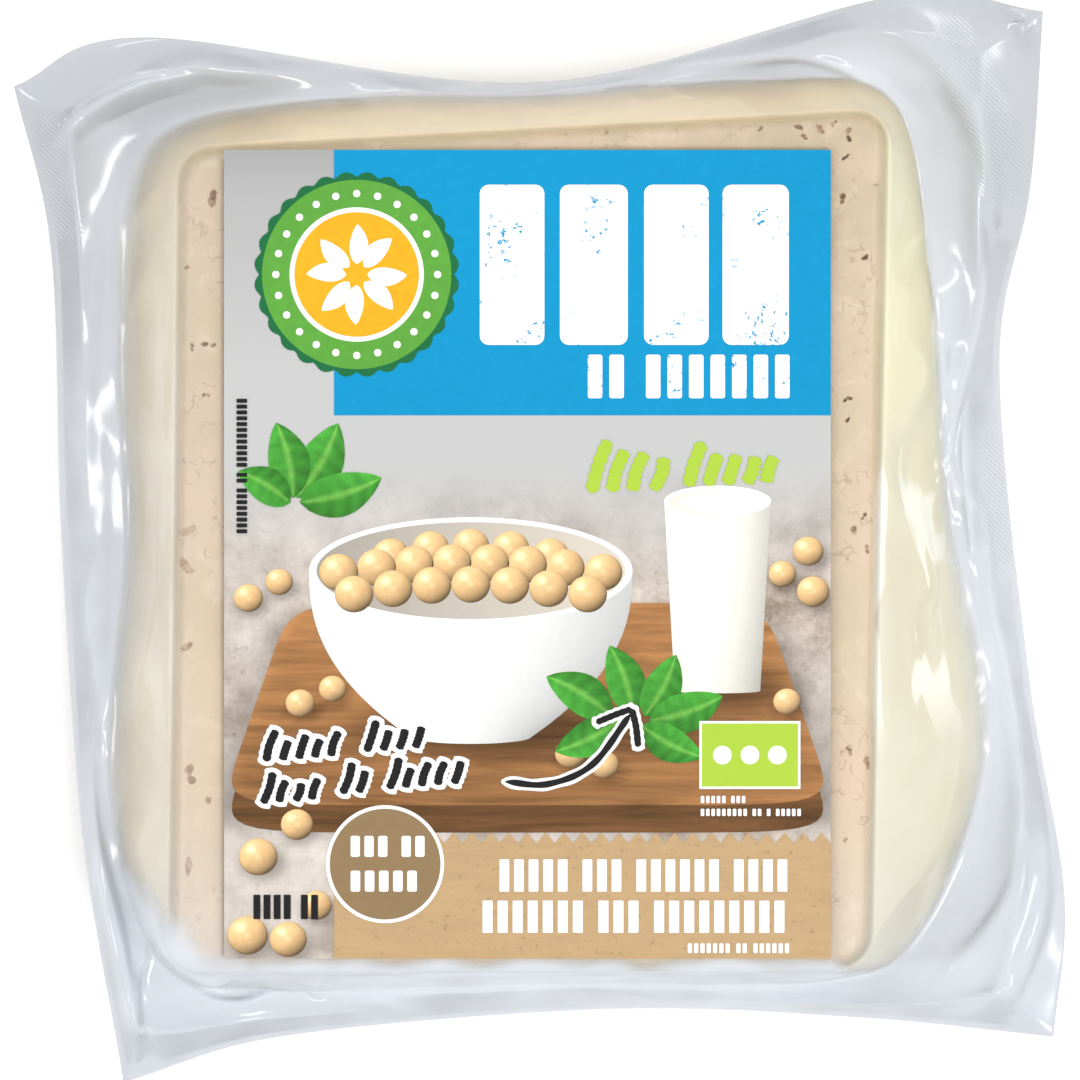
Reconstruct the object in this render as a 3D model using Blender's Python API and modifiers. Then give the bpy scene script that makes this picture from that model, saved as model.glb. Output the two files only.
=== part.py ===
"""A block of firm tofu, vacuum-packed in clear film, lying on its back with the label up.

Two nodes: film_pack, the sealed film with all that it holds, and front_label, the printed
label on its front face. X runs across the pack, +Y towards the top of the label and +Z up.
The origin is the middle of the pack's box, on the surface that it lies on.
"""

import bisect
import math

import bmesh
import bpy
from mathutils import Vector

MM = 0.001

# The tofu block, as wide and long as the flat face that shows under the film.
BLOCK_WIDTH = 90.0 * MM
BLOCK_LENGTH = 106.0 * MM
BLOCK_CENTRE = (-2.3 * MM, -0.5 * MM)
BLOCK_CORNER = 4.5 * MM
PACK_HEIGHT = 30.3 * MM
EDGE_RADIUS = 2.4 * MM
# How far each corner of the uneven block lies from a true rectangle's, in plan.
CORNER_SHIFT = {
    "upper_left": (2.0 * MM, -3.2 * MM),
    "upper_right": (0.7 * MM, 1.6 * MM),
    "lower_right": (-1.4 * MM, 0.6 * MM),
    "lower_left": (0.8 * MM, 0.4 * MM),
}

# The film sweeps down from the block's front edges, and up from its back ones, to the root, where
# its two webs meet. The liquid fills the hollow, which is widest at the lower right. The root's
# corners and the points between them are (x, y, height) in mm.
EDGE_TURN = math.radians(80)
ROOT_UPPER_LEFT = (-49.0, 50.0, 12.5)
ROOT_UPPER_RIGHT = (43.8, 55.3, 13.5)
ROOT_LOWER_RIGHT = (48.0, -48.3, 12.0)
ROOT_LOWER_LEFT = (-48.0, -52.5, 11.0)
ROOT_SIDES = [
    [ROOT_UPPER_LEFT, (-25.0, 55.6, 11.5), (0.0, 56.0, 10.0), (25.0, 57.8, 12.0), ROOT_UPPER_RIGHT],
    [ROOT_UPPER_RIGHT, (49.0, 32.0, 12.0), (51.2, 4.0, 10.5), (56.0, -24.0, 11.0), ROOT_LOWER_RIGHT],
    [ROOT_LOWER_RIGHT, (36.0, -55.0, 11.0), (5.0, -55.6, 9.5), (-32.0, -56.4, 10.0), ROOT_LOWER_LEFT],
    [ROOT_LOWER_LEFT, (-54.2, -30.0, 10.5), (-52.0, 0.0, 10.5), (-53.0, 26.0, 11.5), ROOT_UPPER_LEFT],
]
ROOT_RISE = 0.9 * MM
WALL_SHARES = (0.12, 0.3, 0.6)
WALL_SWEEP = 1.9

# The sealed skirt outside the root. Its corners and the points between them are (x, y, height) in mm.
UPPER_LEFT = (-65.7, 56.7, 12.0)
UPPER_RIGHT = (62.4, 66.0, 17.0)
LOWER_RIGHT = (63.9, -61.8, 12.0)
LOWER_LEFT = (-52.2, -67.7, 8.0)
RIM_SIDES = [
    [UPPER_LEFT, (-49.5, 62.8, 13.0), (-0.3, 57.3, 5.0), (44.0, 67.9, 12.5), UPPER_RIGHT],
    [UPPER_RIGHT, (61.0, 44.0, 10.0), (57.3, 22.0, 5.0), (61.0, -17.0, 5.5), (65.3, -44.0, 10.0),
     LOWER_RIGHT],
    [LOWER_RIGHT, (40.0, -59.6, 8.0), (9.0, -58.7, 3.5), (-32.0, -62.0, 5.0), LOWER_LEFT],
    [LOWER_LEFT, (-57.3, -37.0, 6.0), (-60.0, 0.0, 4.5), (-61.2, 36.0, 7.5), UPPER_LEFT],
]
SKIRT_THICKNESS = 0.8 * MM
SKIRT_OVERLAP = 0.12
SKIRT_DROOP = 1.25
# Each corner of the skirt is creased across, and its tip bends down beyond the crease.
CREASE_HEIGHTS = (4.0 * MM, 1.5 * MM, 3.5 * MM, 2.5 * MM)
CREASE_PLACE = 0.55
CREASE_SHARPNESS = 1.5
CREASE_STEPS = 7

# The label, stuck flat on the front face.
LABEL_WIDTH = 75.0 * MM
LABEL_LENGTH = 100.0 * MM
LABEL_THICKNESS = 0.3 * MM
LABEL_CENTRE = (-1.7 * MM, -1.4 * MM)
FACE_GAP = 0.3 * MM

FILM_COLOUR = (0.78, 0.66, 0.48)
FILM_ROUGHNESS = 0.25
LABEL_COLOUR = (0.03, 0.39, 0.74)
LABEL_ROUGHNESS = 0.35

# How finely the rings round the pack are cut.
STEPS_PER_SIDE = 22
CORNER_SHARE = 3 / STEPS_PER_SIDE
RIM_CORNER_SHARE = 0.19
EDGE_STEPS = 4
SKIRT_RINGS = 8
SPLINE_STEPS = 24
SHARP_ANGLE = math.radians(40)


def clear_scene():
    for item in list(bpy.data.objects):
        bpy.data.objects.remove(item)


def finish_material(name, colour, roughness):
    """A Principled material, not metallic."""
    material = bpy.data.materials.new(name)
    material.use_nodes = True
    shader = material.node_tree.nodes["Principled BSDF"]
    shader.inputs["Base Color"].default_value = (*colour, 1.0)
    shader.inputs["Roughness"].default_value = roughness
    shader.inputs["Metallic"].default_value = 0.0
    material.diffuse_color = (*colour, 1.0)
    return material


def spline_points(anchors, before_first=None, after_last=None):
    """Points along a smooth curve through the anchors: a Catmull-Rom spline, ends included.

    Where it runs on into another, before_first and after_last are that one's nearest anchors.
    """
    knots = [before_first or 2 * anchors[0] - anchors[1], *anchors,
             after_last or 2 * anchors[-1] - anchors[-2]]
    points = []
    for before, start, end, after in zip(knots, knots[1:], knots[2:], knots[3:]):
        for step in range(SPLINE_STEPS):
            t = step / SPLINE_STEPS
            points.append(
                0.5 * (2 * start + (end - before) * t
                       + (2 * before - 5 * start + 4 * end - after) * t ** 2
                       + (3 * start - before - 3 * end + after) * t ** 3)
            )
    return [*points, anchors[-1]]


def along(points, shares):
    """The points at these shares of a polyline's length."""
    reached = [0.0]
    for start, end in zip(points, points[1:]):
        reached.append(reached[-1] + (end - start).length)
    found = []
    for share in shares:
        wanted = share * reached[-1]
        index = min(max(bisect.bisect_right(reached, wanted), 1), len(points) - 1)
        span = reached[index] - reached[index - 1]
        found.append(points[index - 1].lerp(points[index], (wanted - reached[index - 1]) / span))
    return found


def rim_share(step):
    """How far along its side of the rim a step is, so that it lies opposite the block's own."""
    t = step / STEPS_PER_SIDE
    if t < CORNER_SHARE:
        return RIM_CORNER_SHARE * t / CORNER_SHARE
    if t > 1 - CORNER_SHARE:
        return 1 - RIM_CORNER_SHARE * (1 - t) / CORNER_SHARE
    middle = (t - CORNER_SHARE) / (1 - 2 * CORNER_SHARE)
    return RIM_CORNER_SHARE + middle * (1 - 2 * RIM_CORNER_SHARE)


def ring_through(sides, smooth_corners):
    """A ring of steps through four sides' anchors, clockwise from the upper left corner."""
    anchors = [[Vector(anchor) * MM for anchor in side] for side in sides]
    shares = [rim_share(step) for step in range(STEPS_PER_SIDE)]
    ring = []
    for number, side in enumerate(anchors):
        neighbours = ()
        if smooth_corners:
            neighbours = (anchors[number - 1][-2], anchors[(number + 1) % 4][1])
        ring += along(spline_points(side, *neighbours), shares)
    return ring


def uneven(point):
    """A point of the true rectangle moved as the block's nearest corners are."""
    right = min(max((point.x - BLOCK_CENTRE[0]) / BLOCK_WIDTH + 0.5, 0.0), 1.0)
    upper = min(max((point.y - BLOCK_CENTRE[1]) / BLOCK_LENGTH + 0.5, 0.0), 1.0)
    weights = {
        "upper_left": (1 - right) * upper,
        "upper_right": right * upper,
        "lower_right": right * (1 - upper),
        "lower_left": (1 - right) * (1 - upper),
    }
    for corner, weight in weights.items():
        point.x += weight * CORNER_SHIFT[corner][0]
        point.y += weight * CORNER_SHIFT[corner][1]
    return point


def block_ring(inset, height):
    """The block's outline, clockwise from the middle of its upper left corner."""
    corner = BLOCK_CORNER - inset
    half_width = BLOCK_WIDTH / 2 - BLOCK_CORNER
    half_length = BLOCK_LENGTH / 2 - BLOCK_CORNER
    left, right = BLOCK_CENTRE[0] - half_width, BLOCK_CENTRE[0] + half_width
    bottom, top = BLOCK_CENTRE[1] - half_length, BLOCK_CENTRE[1] + half_length
    centres = [(left, top), (right, top), (right, bottom), (left, bottom)]
    ring = []
    for side, (x, y) in enumerate(centres):
        next_x, next_y = centres[(side + 1) % 4]
        outward = math.radians(90 - 90 * side)
        for step in range(STEPS_PER_SIDE):
            t = step / STEPS_PER_SIDE
            turn = max(0.0, 1 - t / CORNER_SHARE) - max(0.0, 1 - (1 - t) / CORNER_SHARE)
            middle = min(max((t - CORNER_SHARE) / (1 - 2 * CORNER_SHARE), 0.0), 1.0)
            angle = outward + turn * math.pi / 4
            ring.append(uneven(Vector((
                x + (next_x - x) * middle + corner * math.cos(angle),
                y + (next_y - y) * middle + corner * math.sin(angle),
                height,
            ))))
    return ring


def loft(name, rings, closed):
    """A mesh through rings of equal counts, listed from the lowest up or from inside out."""
    shape = bmesh.new()
    loops = [[shape.verts.new(point) for point in ring] for ring in rings]
    for inner, outer in zip(loops, loops[1:]):
        for index in range(len(inner)):
            following = (index + 1) % len(inner)
            shape.faces.new((inner[index], outer[index], outer[following], inner[following]))
    if closed:
        shape.faces.new(loops[0])
        shape.faces.new(loops[-1])
    bmesh.ops.recalc_face_normals(shape, faces=shape.faces)
    mesh = bpy.data.meshes.new(name)
    shape.to_mesh(mesh)
    shape.free()
    return bpy.data.objects.new(name, mesh)


def rounded_edge(at_height, upward):
    """The rings of the block's rounded edge, from its flat face outwards."""
    rings = []
    for step in range(EDGE_STEPS):
        angle = EDGE_TURN * step / (EDGE_STEPS - 1)
        inset = EDGE_RADIUS * (1 - math.sin(angle))
        drop = EDGE_RADIUS * (1 - math.cos(angle))
        rings.append(block_ring(inset, at_height - upward * drop))
    return rings


def wall_rings(edge, root):
    """The film between the block's edge and the root: steep by the block and flat by the root."""
    rings = []
    for share in WALL_SHARES:
        ring = []
        for start, end in zip(edge, root):
            point = start.lerp(end, share)
            point.z = end.z + (start.z - end.z) * (1 - share) ** WALL_SWEEP
            ring.append(point)
        rings.append(ring)
    return rings


def make_body(root):
    """The block inside its film, out to the line where the two webs meet."""
    rise = Vector((0, 0, ROOT_RISE))
    root_front = [point + rise for point in root]
    root_back = [point - rise for point in root]
    back = rounded_edge(0.0, upward=-1)
    front = rounded_edge(PACK_HEIGHT, upward=1)
    rings = [*back, *wall_rings(back[-1], root_back), root_back]
    rings += [root_front, *reversed(wall_rings(front[-1], root_front)), *reversed(front)]
    return loft("film_pack", rings, closed=True)


def crease_height(index, share):
    """How far a corner's crease lifts the skirt, at a step round it and a share of the way out."""
    corner = round(index / STEPS_PER_SIDE)
    near = max(0.0, 1 - abs(index - corner * STEPS_PER_SIDE) / CREASE_STEPS)
    across = share / CREASE_PLACE if share < CREASE_PLACE else (1 - share) / (1 - CREASE_PLACE)
    return CREASE_HEIGHTS[corner % 4] * math.sin(near * math.pi / 2) ** 2 * across ** CREASE_SHARPNESS


def make_skirt(root):
    """The sealed skirt, from just inside the root to its wavy edge."""
    rim = ring_through(RIM_SIDES, smooth_corners=False)
    inside = [point.lerp(Vector((*BLOCK_CENTRE, point.z)), SKIRT_OVERLAP) for point in root]
    rings = [inside, root]
    for number in range(1, SKIRT_RINGS + 1):
        share = number / SKIRT_RINGS
        ring = []
        for index, (start, end) in enumerate(zip(root, rim)):
            point = start.lerp(end, share)
            point.z = start.z + (end.z - start.z) * share ** SKIRT_DROOP + crease_height(index, share)
            ring.append(point)
        rings.append(ring)
    skirt = loft("skirt_form", rings, closed=False)
    solid = skirt.modifiers.new("two_webs", "SOLIDIFY")
    solid.thickness = SKIRT_THICKNESS
    solid.offset = 0.0
    return skirt


def join_skirt(body, skirt):
    union = body.modifiers.new("sealed_skirt", "BOOLEAN")
    union.operation = "UNION"
    union.solver = "EXACT"
    union.object = skirt
    skirt.hide_render = True
    skirt.display_type = "WIRE"


def make_label():
    """The printed label, a plain rectangle of stiff film."""
    bpy.ops.mesh.primitive_cube_add(size=1.0)
    label = bpy.context.object
    label.name = "front_label"
    label.scale = (LABEL_WIDTH, LABEL_LENGTH, LABEL_THICKNESS)
    bpy.ops.object.transform_apply(location=False, rotation=False, scale=True)
    label.location = (*LABEL_CENTRE, PACK_HEIGHT + FACE_GAP + LABEL_THICKNESS / 2)
    return label


def evaluated_middle(item):
    """The middle of an object's box in plan, with its modifiers."""
    graph = bpy.context.evaluated_depsgraph_get()
    corners = [Vector(corner) for corner in item.evaluated_get(graph).bound_box]
    low_x, high_x = min(c.x for c in corners), max(c.x for c in corners)
    low_y, high_y = min(c.y for c in corners), max(c.y for c in corners)
    return (low_x + high_x) / 2, (low_y + high_y) / 2


def collection_of(name, *items):
    collection = bpy.data.collections.new(name)
    bpy.context.scene.collection.children.link(collection)
    for item in items:
        for old in list(item.users_collection):
            old.objects.unlink(item)
        collection.objects.link(item)


def main():
    clear_scene()
    root = ring_through(ROOT_SIDES, smooth_corners=True)
    body = make_body(root)
    skirt = make_skirt(root)
    label = make_label()
    origin = bpy.data.objects.new("pack_origin", None)
    collection_of("vacuum_packed_tofu", origin, body, label)
    collection_of("joined_forms", skirt)
    join_skirt(body, skirt)
    bpy.context.view_layer.update()
    middle_x, middle_y = evaluated_middle(body)
    origin.location = (-middle_x, -middle_y, 0.0)
    for item in (body, skirt, label):
        item.parent = origin
    body.data.shade_smooth()
    body.data.set_sharp_from_angle(angle=SHARP_ANGLE)
    body.data.materials.append(finish_material("clear_film_on_tofu", FILM_COLOUR, FILM_ROUGHNESS))
    label.data.materials.append(finish_material("label_print", LABEL_COLOUR, LABEL_ROUGHNESS))


main()
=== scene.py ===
"""The looks of a vacuum-packed block of tofu, laid out as a Blender add-on and run as a script.

Each operator makes one piece, or a group of like pieces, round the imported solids: the tofu, the
liquid sealed in with it, the clear pouch and the printed label. X runs across the pack, +Y towards
the top of the label and +Z up out of its front face, in metres.
"""

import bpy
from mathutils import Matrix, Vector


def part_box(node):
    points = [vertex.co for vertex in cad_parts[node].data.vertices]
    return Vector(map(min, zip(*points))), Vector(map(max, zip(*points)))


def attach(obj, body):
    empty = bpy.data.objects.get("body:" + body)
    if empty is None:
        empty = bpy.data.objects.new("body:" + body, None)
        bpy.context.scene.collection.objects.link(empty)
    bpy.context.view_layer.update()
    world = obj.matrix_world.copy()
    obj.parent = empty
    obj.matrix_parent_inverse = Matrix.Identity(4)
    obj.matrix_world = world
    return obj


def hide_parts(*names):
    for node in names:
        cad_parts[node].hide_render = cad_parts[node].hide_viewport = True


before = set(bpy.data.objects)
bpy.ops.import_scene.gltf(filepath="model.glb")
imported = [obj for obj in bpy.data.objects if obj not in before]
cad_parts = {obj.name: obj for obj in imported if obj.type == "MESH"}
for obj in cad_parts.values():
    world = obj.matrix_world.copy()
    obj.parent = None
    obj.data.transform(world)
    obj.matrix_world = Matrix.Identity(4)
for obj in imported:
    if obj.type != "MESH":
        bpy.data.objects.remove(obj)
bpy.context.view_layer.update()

import math
import random

import bmesh
import bpy
import numpy as np
from bpy.props import FloatProperty, FloatVectorProperty, PointerProperty
from bpy.types import Operator, Panel, PropertyGroup
from mathutils import Vector, kdtree, noise

bl_info = {
    "name": "Vacuum-packed tofu",
    "version": (1, 0, 0),
    "blender": (4, 5, 0),
    "location": "3D View > Sidebar > Tofu pack",
    "description": "Models the tofu, liquid, clear pouch and printed label of a vacuum pack",
    "category": "Add Mesh",
}

MM = 0.001

# ---------------------------------------------------------------------------------------------
# The pack's named sizes, in millimetres unless they say otherwise. They are those of the solids.

BLOCK_WIDTH = 90.0
BLOCK_LENGTH = 106.0
BLOCK_CENTRE = (-2.3, -0.5)
BLOCK_CORNER = 4.5
PACK_HEIGHT = 30.3
EDGE_RADIUS = 2.4
SOFT_EDGE = 4.0
EDGE_TURN = math.radians(80)
# How far each corner of the uneven block lies from a true rectangle's, clockwise from the upper left.
CORNER_SHIFTS = ((2.0, -3.2), (0.7, 1.6), (-1.4, 0.6), (0.8, 0.4))

ROOT_UPPER_LEFT = (-49.0, 50.0, 12.5)
ROOT_UPPER_RIGHT = (43.8, 55.3, 13.5)
ROOT_LOWER_RIGHT = (48.0, -48.3, 12.0)
ROOT_LOWER_LEFT = (-48.0, -52.5, 11.0)
ROOT_SIDES = [
    [ROOT_UPPER_LEFT, (-25.0, 55.6, 11.5), (0.0, 56.0, 10.0), (25.0, 57.8, 12.0), ROOT_UPPER_RIGHT],
    [ROOT_UPPER_RIGHT, (49.0, 32.0, 12.0), (51.2, 4.0, 10.5), (56.0, -24.0, 11.0), ROOT_LOWER_RIGHT],
    [ROOT_LOWER_RIGHT, (36.0, -55.0, 11.0), (5.0, -55.6, 9.5), (-32.0, -56.4, 10.0), ROOT_LOWER_LEFT],
    [ROOT_LOWER_LEFT, (-54.2, -30.0, 10.5), (-52.0, 0.0, 10.5), (-53.0, 26.0, 11.5), ROOT_UPPER_LEFT],
]
WALL_SWEEPS = ((0.0, 1.9), (0.05, 1.3), (0.2, 1.3), (0.25, 1.8), (0.33, 1.5), (0.47, 1.4), (0.54, 1.8),
               (1.0, 1.9))

UPPER_LEFT = (-65.7, 56.7, 12.0)
UPPER_RIGHT = (62.4, 66.0, 17.0)
LOWER_RIGHT = (63.9, -61.8, 12.0)
LOWER_LEFT = (-52.2, -67.7, 8.0)
RIM_SIDES = [
    [UPPER_LEFT, (-49.5, 62.8, 13.0), (-0.3, 57.3, 5.0), (44.0, 67.9, 12.5), UPPER_RIGHT],
    [UPPER_RIGHT, (61.0, 44.0, 10.0), (57.3, 22.0, 5.0), (61.0, -17.0, 5.5), (65.3, -44.0, 10.0),
     LOWER_RIGHT],
    [LOWER_RIGHT, (40.0, -59.6, 8.0), (9.0, -58.7, 3.5), (-32.0, -62.0, 5.0), LOWER_LEFT],
    [LOWER_LEFT, (-57.3, -37.0, 6.0), (-60.0, 0.0, 4.5), (-61.2, 36.0, 7.5), UPPER_LEFT],
]
SKIRT_DROOP = 1.25
CREASE_HEIGHTS = (4.0, 1.5, 3.5, 2.5)
CREASE_PLACE = 0.55
CREASE_SHARPNESS = 1.5
CREASE_REACH = 7 / 22

# How finely the rings round the pack are cut.
SIDE_STEPS = 150
AROUND = 4 * SIDE_STEPS
CORNER_SHARE = 3 / 22
RIM_CORNER_SHARE = 0.19
FACE_SHARES = (0.3, 0.6, 0.78, 0.82, 0.86, 0.9, 0.93, 0.96, 0.985)
BACK_SHARES = (0.3, 0.7, 0.92)
EDGE_STEPS = 7
WALL_STEPS = 22
BACK_WALL_STEPS = 12
SKIRT_STEPS = 34


# ---------------------------------------------------------------------------------------------
# Sizes and colours that a user would change.

def colour_property(name, description, default):
    return FloatVectorProperty(
        name=name, description=description, default=default, subtype="COLOR", size=3, min=0, max=1)


def length_property(name, description, default):
    return FloatProperty(name=name, description=description, default=default, unit="LENGTH", precision=5)


def factor_property(name, description, default, largest=1.0):
    return FloatProperty(
        name=name, description=description, default=default, subtype="FACTOR", min=0, max=largest)


class TofuSettings(PropertyGroup):
    colour: colour_property("Tofu", "Pale face of the pressed curd", (0.585, 0.46, 0.315))
    # Painted shade: the curd is painted darker towards the top edge.
    shade: colour_property("Tofu shade", "Darker curd towards the top edge", (0.46, 0.37, 0.243))
    # Painted shade inside the pits and cracks.
    pit_painted_shade: colour_property("Pits", "Inside of the pits and cracks", (0.42, 0.285, 0.175))
    edge_radius: length_property("Edge radius", "Rounding of the block's edges", 2.8 * MM)
    belly: factor_property("Belly", "How far the sides fill the hollow of the film", 0.95)
    voxel: length_property("Detail", "Size of the block's surface cells", 0.8 * MM)


class LiquidSettings(PropertyGroup):
    colour: colour_property("Liquid", "Cloudy liquid round the block", (0.67, 0.625, 0.475))
    pale: colour_property("Pale liquid", "Lighter clouds in the liquid", (0.72, 0.695, 0.565))
    murk: factor_property("Murk", "How little the liquid lets through", 0.97)


class PouchSettings(PropertyGroup):
    # Painted light and shade: the film's haze is painted greyer at the top and paler at the bottom.
    upper_milk_painted_shade: colour_property("Upper film", "Haze of the film at the top", (0.44, 0.46, 0.487))
    lower_milk_painted_light: colour_property("Lower film", "Haze of the film at the bottom", (0.515, 0.54, 0.587))
    # Painted light: the haze is painted paler by the foot of the wall and along the middles of the sides.
    inner_milk_painted_light: colour_property("Inner film", "Paler haze by the foot of the wall", (0.61, 0.64, 0.685))
    skirt_haze: factor_property("Skirt haze", "How milky the sealed skirt is", 0.76)
    face_haze: factor_property("Face haze", "How milky the film over the block is", 0.03)
    skirt_thickness: length_property("Skirt thickness", "Two sealed webs of film", 0.3 * MM)
    fold_scale: factor_property("Folds", "Height of the folds, as a share of the modelled one", 1.25, 3.0)
    gloss_ior: FloatProperty(name="Gloss", description="Index of the film's gloss", default=1.45)
    gloss_spread: factor_property("Gloss spread", "Roughness of the film's gloss", 0.14)


class LabelSettings(PropertyGroup):
    blue: colour_property("Blue", "Blue field", (0.003, 0.26, 0.50))
    kraft: colour_property("Kraft", "Brown paper band", (0.40, 0.268, 0.135))
    white: colour_property("White", "White ink", (0.80, 0.80, 0.79))
    black: colour_property("Black", "Black ink", (0.012, 0.012, 0.013))
    lime: colour_property("Lime", "Lime ink", (0.36, 0.53, 0.05))
    green: colour_property("Green", "Green of the seal", (0.10, 0.33, 0.045))
    dark_green: colour_property("Dark green", "Dark edge of the seal", (0.012, 0.13, 0.045))
    sun: colour_property("Sun", "Warm yellow of the seal", (0.85, 0.38, 0.015))
    wall: colour_property("Grey", "Plain grey behind the picture", (0.45, 0.455, 0.45))
    wood: colour_property("Wood", "Tray in the picture", (0.30, 0.14, 0.052))


class StageSettings(PropertyGroup):
    floor: colour_property("Floor", "Plain pale floor", (0.97, 0.97, 0.97))
    distance: length_property("Camera distance", "From the camera to the pack", 2.2)
    focal: FloatProperty(name="Lens", description="Focal length in millimetres", default=589.0)
    tilt: FloatProperty(
        name="Tilt", description="How far the camera leans from straight above",
        default=math.radians(1.0), unit="ROTATION")
    surround: FloatProperty(name="Surround", description="Brightness of the studio all round", default=0.98)
    key_power: FloatProperty(
        name="Key light", description="Power of the main softbox, in watts", default=4.6)


SETTINGS = {
    "tofu_settings": TofuSettings,
    "liquid_settings": LiquidSettings,
    "pouch_settings": PouchSettings,
    "label_settings": LabelSettings,
    "stage_settings": StageSettings,
}


# ---------------------------------------------------------------------------------------------
# Lines and rings round the pack. A ring is an array of AROUND points, clockwise from the upper left.

def smoothstep(low, high, values):
    t = np.clip((values - low) / (high - low), 0, 1)
    return t * t * (3 - 2 * t)


def smooth_line(anchors, before=None, after=None, steps=24):
    """Points along a Catmull-Rom curve through the anchors, which may run on into another curve."""
    anchors = np.asarray(anchors, float)
    before = 2 * anchors[0] - anchors[1] if before is None else np.asarray(before, float)
    after = 2 * anchors[-1] - anchors[-2] if after is None else np.asarray(after, float)
    knots = np.vstack([before, anchors, after])
    t = np.linspace(0, 1, steps, endpoint=False)[:, None]
    spans = [
        0.5 * (2 * b + (c - a) * t + (2 * a - 5 * b + 4 * c - d) * t ** 2
               + (3 * b - a - 3 * c + d) * t ** 3)
        for a, b, c, d in zip(knots, knots[1:], knots[2:], knots[3:])
    ]
    return np.vstack([*spans, anchors[-1:]])


def at_shares(line, shares):
    """The points at these shares of a line's length."""
    lengths = np.linalg.norm(np.diff(line, axis=0), axis=1)
    reached = np.concatenate([[0.0], np.cumsum(lengths)])
    wanted = np.asarray(shares) * reached[-1]
    return np.column_stack([np.interp(wanted, reached, line[:, axis]) for axis in range(line.shape[1])])


def steps_along(corner_share):
    """Shares of a side's length for its steps, matched corner to corner with the block's own."""
    t = np.arange(SIDE_STEPS) / SIDE_STEPS
    return np.interp(t, (0, CORNER_SHARE, 1 - CORNER_SHARE, 1), (0, corner_share, 1 - corner_share, 1))


def ring_through(sides, smooth_corners):
    """A ring along four sides, whose curves may run on into each other at the corners."""
    shares = steps_along(RIM_CORNER_SHARE)
    runs = []
    for number, side in enumerate(sides):
        before = sides[number - 1][-2] if smooth_corners else None
        after = sides[(number + 1) % 4][1] if smooth_corners else None
        runs.append(at_shares(smooth_line(side, before, after), shares))
    return np.vstack(runs)


def uneven(points):
    """Points of the true rectangle moved as the block's nearest corners are."""
    right = np.clip((points[:, 0] - BLOCK_CENTRE[0]) / BLOCK_WIDTH + 0.5, 0, 1)
    upper = np.clip((points[:, 1] - BLOCK_CENTRE[1]) / BLOCK_LENGTH + 0.5, 0, 1)
    weights = ((1 - right) * upper, right * upper, right * (1 - upper), (1 - right) * (1 - upper))
    for weight, shift in zip(weights, CORNER_SHIFTS):
        points[:, :2] += weight[:, None] * np.array(shift)
    return points


def block_ring(inset, height):
    """The block's rounded outline at a height."""
    corner = BLOCK_CORNER - inset
    half_width, half_length = BLOCK_WIDTH / 2 - BLOCK_CORNER, BLOCK_LENGTH / 2 - BLOCK_CORNER
    left, right = BLOCK_CENTRE[0] - half_width, BLOCK_CENTRE[0] + half_width
    bottom, top = BLOCK_CENTRE[1] - half_length, BLOCK_CENTRE[1] + half_length
    centres = np.array([(left, top), (right, top), (right, bottom), (left, bottom)])
    t = np.arange(SIDE_STEPS) / SIDE_STEPS
    turn = np.maximum(0, 1 - t / CORNER_SHARE) - np.maximum(0, 1 - (1 - t) / CORNER_SHARE)
    middle = np.clip((t - CORNER_SHARE) / (1 - 2 * CORNER_SHARE), 0, 1)[:, None]
    runs = []
    for side in range(4):
        angle = math.radians(90 - 90 * side) + turn * math.pi / 4
        place = centres[side] + (centres[(side + 1) % 4] - centres[side]) * middle
        place = place + corner * np.column_stack([np.cos(angle), np.sin(angle)])
        runs.append(np.column_stack([place, np.full(SIDE_STEPS, height)]))
    return uneven(np.vstack(runs))


def face_rings(height, inset, shares):
    """Rings from the middle of a flat face out to its edge."""
    edge = block_ring(inset, height)
    middle = np.array([*BLOCK_CENTRE, height])
    return [middle + (edge - middle) * share for share in shares]


def edge_rings(at_height, upward):
    """The rings of the rounded edge, from the flat face outwards."""
    rings = []
    for angle in np.linspace(0, EDGE_TURN, EDGE_STEPS):
        inset, drop = SOFT_EDGE * (1 - math.sin(angle)), EDGE_RADIUS * (1 - math.cos(angle))
        rings.append(block_ring(inset, at_height - upward * drop))
    return rings


def round_pack(table):
    """A table of values against shares of a turn, read at every step round the pack."""
    return np.interp(np.arange(AROUND) / AROUND, *zip(*table))


def wall_ring(edge, root, share):
    """The film between the block's edge and the root: steep by the block and flat by the root."""
    ring = edge + (root - edge) * share
    ring[:, 2] = root[:, 2] + (edge[:, 2] - root[:, 2]) * (1 - share) ** round_pack(WALL_SWEEPS)
    return ring


def wall_rings(edge, root, steps):
    """Rings across the wall, closer together where it is steep."""
    return [wall_ring(edge, root, (step / steps) ** 1.5) for step in range(1, steps)]


def corner_crease(share):
    """How far each step's crease lifts the skirt, at a share of the way out."""
    corner_steps = np.arange(AROUND) / SIDE_STEPS
    corner = np.round(corner_steps).astype(int)
    near = np.maximum(0, 1 - np.abs(corner_steps - corner) / CREASE_REACH)
    across = share / CREASE_PLACE if share < CREASE_PLACE else (1 - share) / (1 - CREASE_PLACE)
    height = np.array(CREASE_HEIGHTS)[corner % 4]
    return height * np.sin(near * math.pi / 2) ** 2 * across ** CREASE_SHARPNESS


def skirt_ring(root, rim, share):
    """The plain skirt between the root and the rim, before its folds."""
    ring = root + (rim - root) * share
    ring[:, 2] = root[:, 2] + (rim[:, 2] - root[:, 2]) * share ** SKIRT_DROOP + corner_crease(share)
    return ring


def pack_shift(rim):
    """Where the sizes' own origin lies in the frame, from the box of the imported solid."""
    low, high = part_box("film_pack")
    middle = (np.array(low) + np.array(high))[:2] / 2 / MM
    return np.array([*(middle - (rim.min(axis=0) + rim.max(axis=0))[:2] / 2), 0.0])


# ---------------------------------------------------------------------------------------------
# Meshes, selection and finish.

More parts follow.
